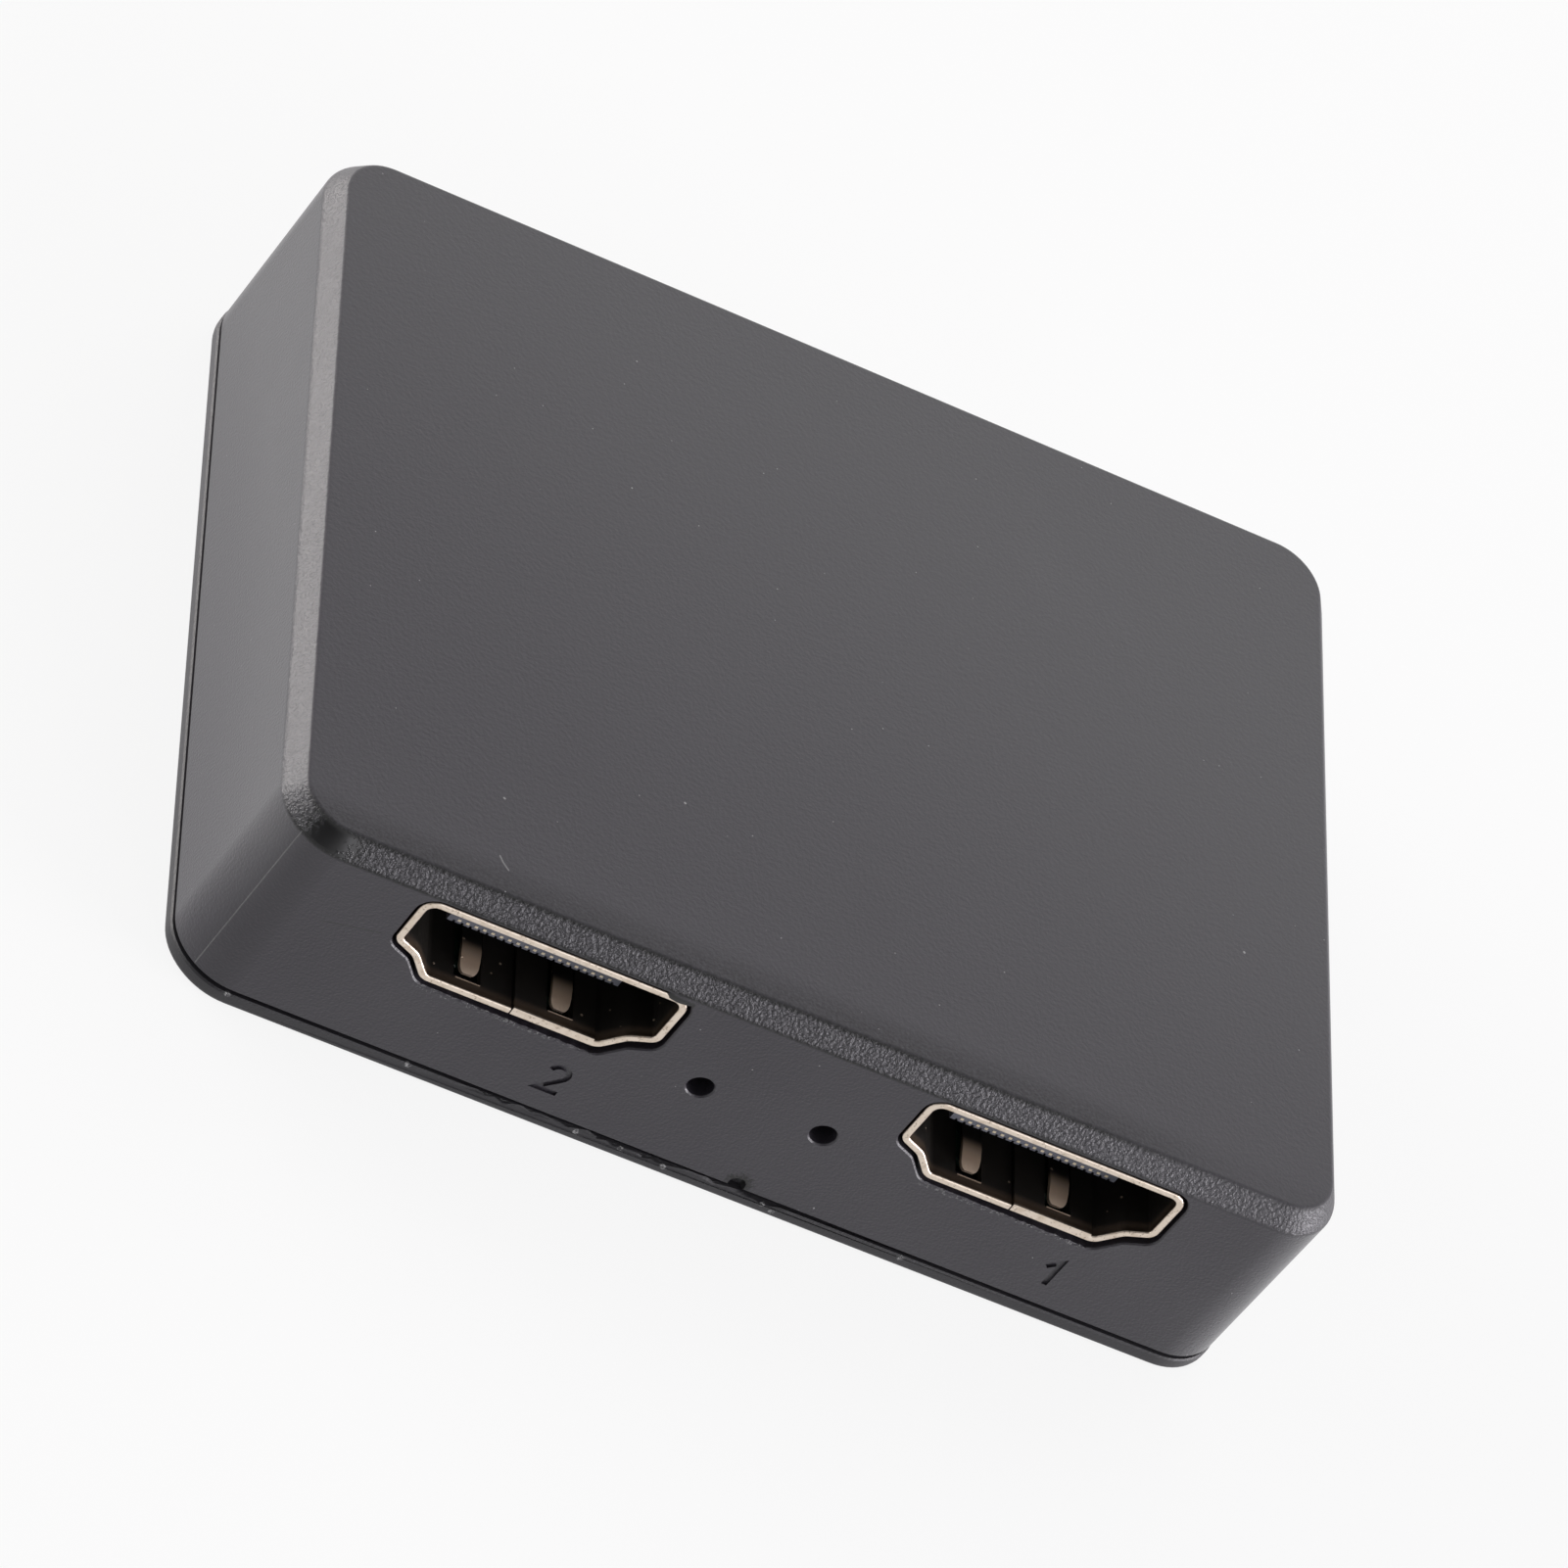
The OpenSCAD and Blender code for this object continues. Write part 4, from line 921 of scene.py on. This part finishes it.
video = dict(
    mouth=videoMouth, rim=0.10,
    windowX=2.55, windowWide=1.5, windowFront=0.7, windowLong=6.0, windowCut=(-1.0, 0.3),
    fingerWide=1.08, fingerThick=0.24, fingerTip=0.42,
    fingerPath=((2.2, 0.20, 1), (1.4, 0.26, 1), (0.8, 0.18, 1), (0.4, 0.07, 0.96), (0.2, 0.01, 0.86),
                (0.08, -0.03, 0.72), (0.0, -0.06, 0.5)),      # back from the tip, height, share of the width
    burrIn=(0.1, 0.02), burrFront=(0.04, 0.005), burrZ=(-0.05, 0.03),      # the burr before each finger
    seam=0.08, lap=0.15, lapX=4.55, lapIn=0.01, lapPast=1.0,  # the floor's right half laps a little higher
    legs=(3.4, 8.6), legWide=1.4, legLow=-2.4, legHigh=3.4,
    tongueWide=9.6, tongueThick=0.8, tongueBack=2.25, tongueEnd=0.5, tongueSoft=0.06, block=2.8, blockFit=0.05,
    combPitch=0.466, combWide=0.32, combHigh=0.17, combLong=2.0, combSlots=20,
    upperContacts=10, lowerContacts=9,
    contactWide=0.17, contactThick=0.14, tipZ=2.14, tailGap=0.15, tailFoot=0.9,
)
power = dict(
    mouth=powerMouth, rim=0.07,
    legs=(2.9,), legWide=1.4, legLow=-2.3, legHigh=1.2,
    tongueWide=6.1, tongueThick=0.6, tongueBack=0.8, tongueEnd=0.5, tongueSoft=0.06, block=1.6, blockFit=0.05,
    contactPitch=0.65, contactWide=0.3, contactThick=0.15, contacts=5, tailGap=0.15, tailFoot=0.9,
)


def rowOf(obj, count, pitch):  # copies of a piece in a row along X, its middle at x = 0
    modify(obj, "ARRAY", count=count, use_relative_offset=False, use_constant_offset=True,
           constant_offset_displace=(pitch, 0, 0))
    return moved(obj, (-(count - 1) * pitch / 2, 0, 0))


def springFinger(x):  # a spring finger in the floor, its round tip towards the mouth
    v = video
    flat = -v["mouth"]["sheet"] / 2
    tip, back = v["windowFront"] + v["fingerTip"], v["windowFront"] + v["windowLong"]
    path = [(back + 0.4, flat, 1), (back, flat, 1)]
    path += [(tip + behind, height, share) for behind, height, share in v["fingerPath"]]
    return moved(ribbon("finger", path, v["fingerWide"], v["fingerThick"]), (x, 0, 0))


def legBlocks(s):
    mouth = s["mouth"]
    inner, outer = mouth["wide"] / 2, mouth["wide"] / 2 + mouth["sheet"]
    boxes = []
    for y in s["legs"]:
        front, back = y - s["legWide"] / 2, y + s["legWide"] / 2
        for a, b in ((inner, outer), (-outer, -inner)):
            boxes.append(((a, front, s["legLow"]), (b, back, s["legHigh"])))
    return addBlocks("leg", boxes)


def shellOf(name, s):  # the bent sheet round a socket
    mouth = s["mouth"]
    mouthTube(name, mouth, 0, mouth["deep"])
    shell = closeEdit()
    modify(shell, "SOLIDIFY", thickness=mouth["sheet"], offset=1, use_even_offset=True)
    modify(shell, "BEVEL", width=s["rim"], segments=3, limit_method="ANGLE", angle_limit=math.radians(60))
    combine(shell, legBlocks(s), "UNION")
    return shell


def videoShell():
    v, mouth = video, videoMouth
    shell = shellOf("video_shell", v)
    half, back = v["windowWide"] / 2, v["windowFront"] + v["windowLong"]
    under, above = v["windowCut"]
    boxes = []
    for x in (v["windowX"], -v["windowX"]):
        boxes.append(((x - half, v["windowFront"], under), (x + half, back, above)))
    boxes.append(((-v["seam"] / 2, -0.2, under), (v["seam"] / 2, mouth["deep"] + 0.2, above)))
    lapEnd = (v["lapX"], back + v["lapPast"], v["lap"])
    combine(shell, addBlocks("lap", [((0, v["lapIn"], -sink), lapEnd)]), "UNION")
    combine(shell, addBlocks("window", boxes), "DIFFERENCE")
    for x in (v["windowX"], -v["windowX"]):
        combine(shell, springFinger(x), "UNION")
        lift = v["lap"] if x > 0 else 0
        burrLow = (x - half + v["burrIn"][0], v["windowFront"] - v["burrFront"][0], v["burrZ"][0])
        burrHigh = (x + half - v["burrIn"][1], v["windowFront"] - v["burrFront"][1], v["burrZ"][1] + lift)
        combine(shell, addBlocks("burr", [(burrLow, burrHigh)]), "UNION")
    paint(shell, finishes["nickel"], finishes["spring"], onFinger)
    return shell


def onFinger(face):  # a face of a spring finger or of the burr before it
    v, middle = video, face.center
    level = min(abs(middle.z), abs(middle.z - v["lap"])) < 0.004     # the sheet's own floor
    beside = abs(abs(middle.x) - v["windowX"]) < v["windowWide"] / 2 - 0.02
    within = v["windowFront"] - 0.08 < middle.y < v["windowFront"] + v["windowLong"]
    return beside and within and -0.2 < middle.z < 0.6 and not level


def paint(obj, finish, other, test):  # two finishes on one piece: the other where a face passes the test
    obj.data.materials.append(finish)
    obj.data.materials.append(other)
    for face in obj.data.polygons:
        face.material_index = 1 if test(face) else 0


def insulatorOf(name, s):  # the block at the back of a socket and its tongue
    mouth = s["mouth"]
    mouthTube(name, mouth, mouth["deep"] - s["block"], s["block"], -s["blockFit"])
    capped()
    block = closeEdit()
    half, low = s["tongueWide"] / 2, (mouth["high"] - s["tongueThick"]) / 2
    end = (half, mouth["deep"] - s["tongueEnd"], low + s["tongueThick"])
    tongue = addBlock("tongue", (-half, s["tongueBack"], low), end)
    pick("EDGE", lambda e: all(v.co.y < s["tongueBack"] + tiny for v in e.verts))
    bevelEdges(s["tongueSoft"], 2)
    closeEdit()
    combine(block, tongue, "UNION")
    return block


def videoInsulator():
    v = video
    insulator = insulatorOf("video_insulator", v)
    low = (videoMouth["high"] - v["tongueThick"]) / 2
    wide = v["combPitch"] - v["combWide"]
    slotEnd = (wide / 2, v["tongueBack"] + v["combLong"], low + v["combHigh"])
    addBlock("slot", (-wide / 2, 0, low - 0.2), slotEnd)
    slots = rowOf(closeEdit(), v["combSlots"], v["combPitch"])
    combine(insulator, slots, "DIFFERENCE")
    return insulator


def contactRow(s, count, pitch, run, tipZ):  # strips along the tongue, down behind the shell to a foot
    tip, back = s["tongueBack"] - 0.02, s["mouth"]["deep"] + s["tailGap"] + s["contactThick"] / 2
    foot = -s["mouth"]["sheet"] + s["contactThick"] / 2
    path = [(tip, tipZ, 1), (tip + 0.35, tipZ, 1), (tip + 0.8, run, 1)] if tipZ != run else [(tip, run, 1)]
    path += [(back, run, 1), (back, foot, 1), (back + s["tailFoot"], foot, 1)]
    return rowOf(ribbon("contact", path, s["contactWide"], s["contactThick"]), count, pitch)


def videoContacts():
    v = video
    low = (videoMouth["high"] - v["tongueThick"]) / 2
    half = v["contactThick"] / 2
    upper = contactRow(v, v["upperContacts"], 2 * v["combPitch"], low + v["tongueThick"] - half, v["tipZ"])
    lower = contactRow(v, v["lowerContacts"], 2 * v["combPitch"], low + half, v["tipZ"])
    return joined([upper, lower])


def powerContacts():
    p = power
    low = (powerMouth["high"] - p["tongueThick"]) / 2 + p["contactThick"] / 2
    contacts = contactRow(p, p["contacts"], p["contactPitch"], low, low)
    contacts.name = "power_contacts_body"
    return contacts


def buildSockets():
    pieces = dict(
        shell=(videoShell(), "nickel", "socket_metal"), insulator=(videoInsulator(), "resin", "socket_plastic"),
        contacts=(videoContacts(), "gold", "contact_gold"))
    frontY, backY = nodeBox("output_1_shell")[0].y, nodeBox("input_shell")[1].y
    floor = boardTop + videoMouth["sheet"]
    spots = dict(output_1=((outputX[0], frontY, floor), 0), output_2=((outputX[1], frontY, floor), 0),
                 input=((inputX, backY, floor), math.pi))
    for part, (piece, finish, slot) in pieces.items():
        for socket, (place, turn) in spots.items():
            node = socket + "_" + part
            finishPiece(moved(copied(piece, node + "_body"), place, turn), finishes[finish], slot, node)
        bpy.data.objects.remove(piece)
    place = (powerX, nodeBox("power_shell")[1].y, boardTop + powerMouth["sheet"])
    powerPieces = dict(
        shell=(shellOf("power_shell_body", power), "nickel", "socket_metal"),
        insulator=(insulatorOf("power_insulator_body", power), "resin", "socket_plastic"),
        contacts=(powerContacts(), "gold", "contact_gold"))
    for part, (piece, finish, slot) in powerPieces.items():
        finishPiece(moved(piece, place, math.pi), finishes[finish], slot, "power_" + part)


buildSockets()
print("sockets built")


# the pieces inside the case keep their shape and get a finish

inside = dict(
    board_screws="screw", circuit_board="board", indicator_light_1="light", indicator_light_2="light",
    splitter_chip="chip", memory_chip="chip", surge_arrays="chip", level_transistors="chip",
    linear_regulator="chip", step_down_converter="chip", protection_diode="chip", chip_resistors="chip",
    timing_crystal="can",
    power_inductor="ferrite", ferrite_bead="ferrite", bulk_capacitors="resinCap", ceramic_capacitors="ceramic",
    output_fuses="fuse",
)
for node, finish in inside.items():
    for slot in frame["nodes"][node].material_slots:
        slot.material = finishes[finish]
print("inside pieces finished:", len(inside))


# camera, floor and light

cameraView = dict(place=(-187.964, -360.054, 347.132), turn=(42.0345, -30.0185, 1.2726), lens=238.86, film=36)


def addCamera():
    c = cameraView
    turn = [math.radians(angle) for angle in c["turn"]]
    bpy.ops.object.camera_add(location=Vector(c["place"]) * mm, rotation=turn)
    camera = bpy.context.object
    camera.data.sensor_fit = "HORIZONTAL"
    camera.data.sensor_width = c["film"]
    camera.data.lens = c["lens"]
    camera.data.clip_start = 0.01
    bpy.context.scene.camera = camera


floorLook = dict(
    size=6.0, drop=0.05, white=0.85,
    shown=0.86,     # how much of it is plain white to the eye, the rest keeps the shadow
)


def seenRays(wire):  # 1 for what the camera sees, straight or in a reflection
    seen = wire.make("LightPath", out="Is Camera Ray")
    seen = seen.most(wire.make("LightPath", out="Is Glossy Ray"))
    return seen.most(wire.make("LightPath", out="Is Transmission Ray"))


def addFloor():
    f = floorLook
    deselect()
    bpy.ops.mesh.primitive_plane_add(size=f["size"], location=(0, 0, -f["drop"] * mm))
    floor = bpy.context.object
    floor.name = "floor"
    finish = bpy.data.materials.new("floor_white")
    finish.use_nodes = True
    tree = finish.node_tree
    tree.nodes.remove(tree.nodes["Principled BSDF"])
    start = Wire(tree)
    matte = start.make("BsdfDiffuse", {}, {"Color": grey(f["white"])})
    glow = start.make("Emission", {}, {"Color": (1, 1, 1, 1), "Strength": 1.0})
    both = start.make("MixShader", {}, {0: seenRays(start) * f["shown"], 1: matte, 2: glow})
    tree.links.new(both.socket, tree.nodes["Material Output"].inputs["Surface"])
    floor.data.materials.append(finish)


lamps = dict(  # glow is the brightness of a lamp's face, where the white floor is 1
    key=dict(place=(-480, 450, 100), aim=(0, 0, 6), size=(460, 300), glow=9.0, tint=(1.0, 0.95, 0.92)),
    left=dict(place=(-600, 110, 60), aim=(0, 0, 6), size=(420, 260), glow=8.5, tint=(1.0, 0.99, 0.99)),
    top=dict(place=(240, 460, 440), aim=(0, 0, 6), size=(500, 500), glow=1.4, tint=(1.0, 1.0, 1.0)),
    right=dict(place=(560, -190, 110), aim=(0, 0, 6), size=(420, 240), glow=13.0, tint=(0.98, 0.95, 1.0)),
    front=dict(place=(250, -580, 300), aim=(0, 0, 6), size=(170, 130), glow=6.0, tint=(0.95, 0.94, 1.0)),
)
room = dict(light=0.33, dark=0.9, wide=(42, 18))  # the camera's side of the room is dark in reflections


def addLamps():
    for name, lamp in lamps.items():
        place, aim = Vector(lamp["place"]) * mm, Vector(lamp["aim"]) * mm
        turn = (aim - place).to_track_quat("-Z", "Y").to_euler()
        bpy.ops.object.light_add(type="AREA", location=place, rotation=turn)
        light = bpy.context.object
        light.name = "lamp_" + name
        light.data.shape = "RECTANGLE"
        light.data.size = lamp["size"][0] * mm
        light.data.size_y = lamp["size"][1] * mm
        light.data.color = lamp["tint"]
        light.data.energy = lamp["glow"] * math.pi * light.data.size * light.data.size_y


def addWorld():
    world = bpy.data.worlds.new("studio")
    world.use_nodes = True
    tree = world.node_tree
    start = Wire(tree)
    way = start.make("TexCoord", out="Generated")
    near = way.vector("DOT_PRODUCT", Vector(cameraView["place"]).normalized(), "Value")
    patch = near.step(*(math.cos(math.radians(angle)) for angle in room["wide"])) * room["dark"]
    glossy = start.make("LightPath", out="Is Glossy Ray")
    seen = seenRays(start)
    level = seen * (1 - glossy * patch) + (1 - seen) * room["light"]
    tree.links.new(level.socket, tree.nodes["Background"].inputs["Strength"])
    tree.nodes["Background"].inputs["Color"].default_value = (1, 1, 1, 1)
    bpy.context.scene.world = world


addCamera()
addFloor()
addLamps()
addWorld()
bpy.context.scene.view_settings.view_transform = "Standard"
print("camera, floor and lamps set")
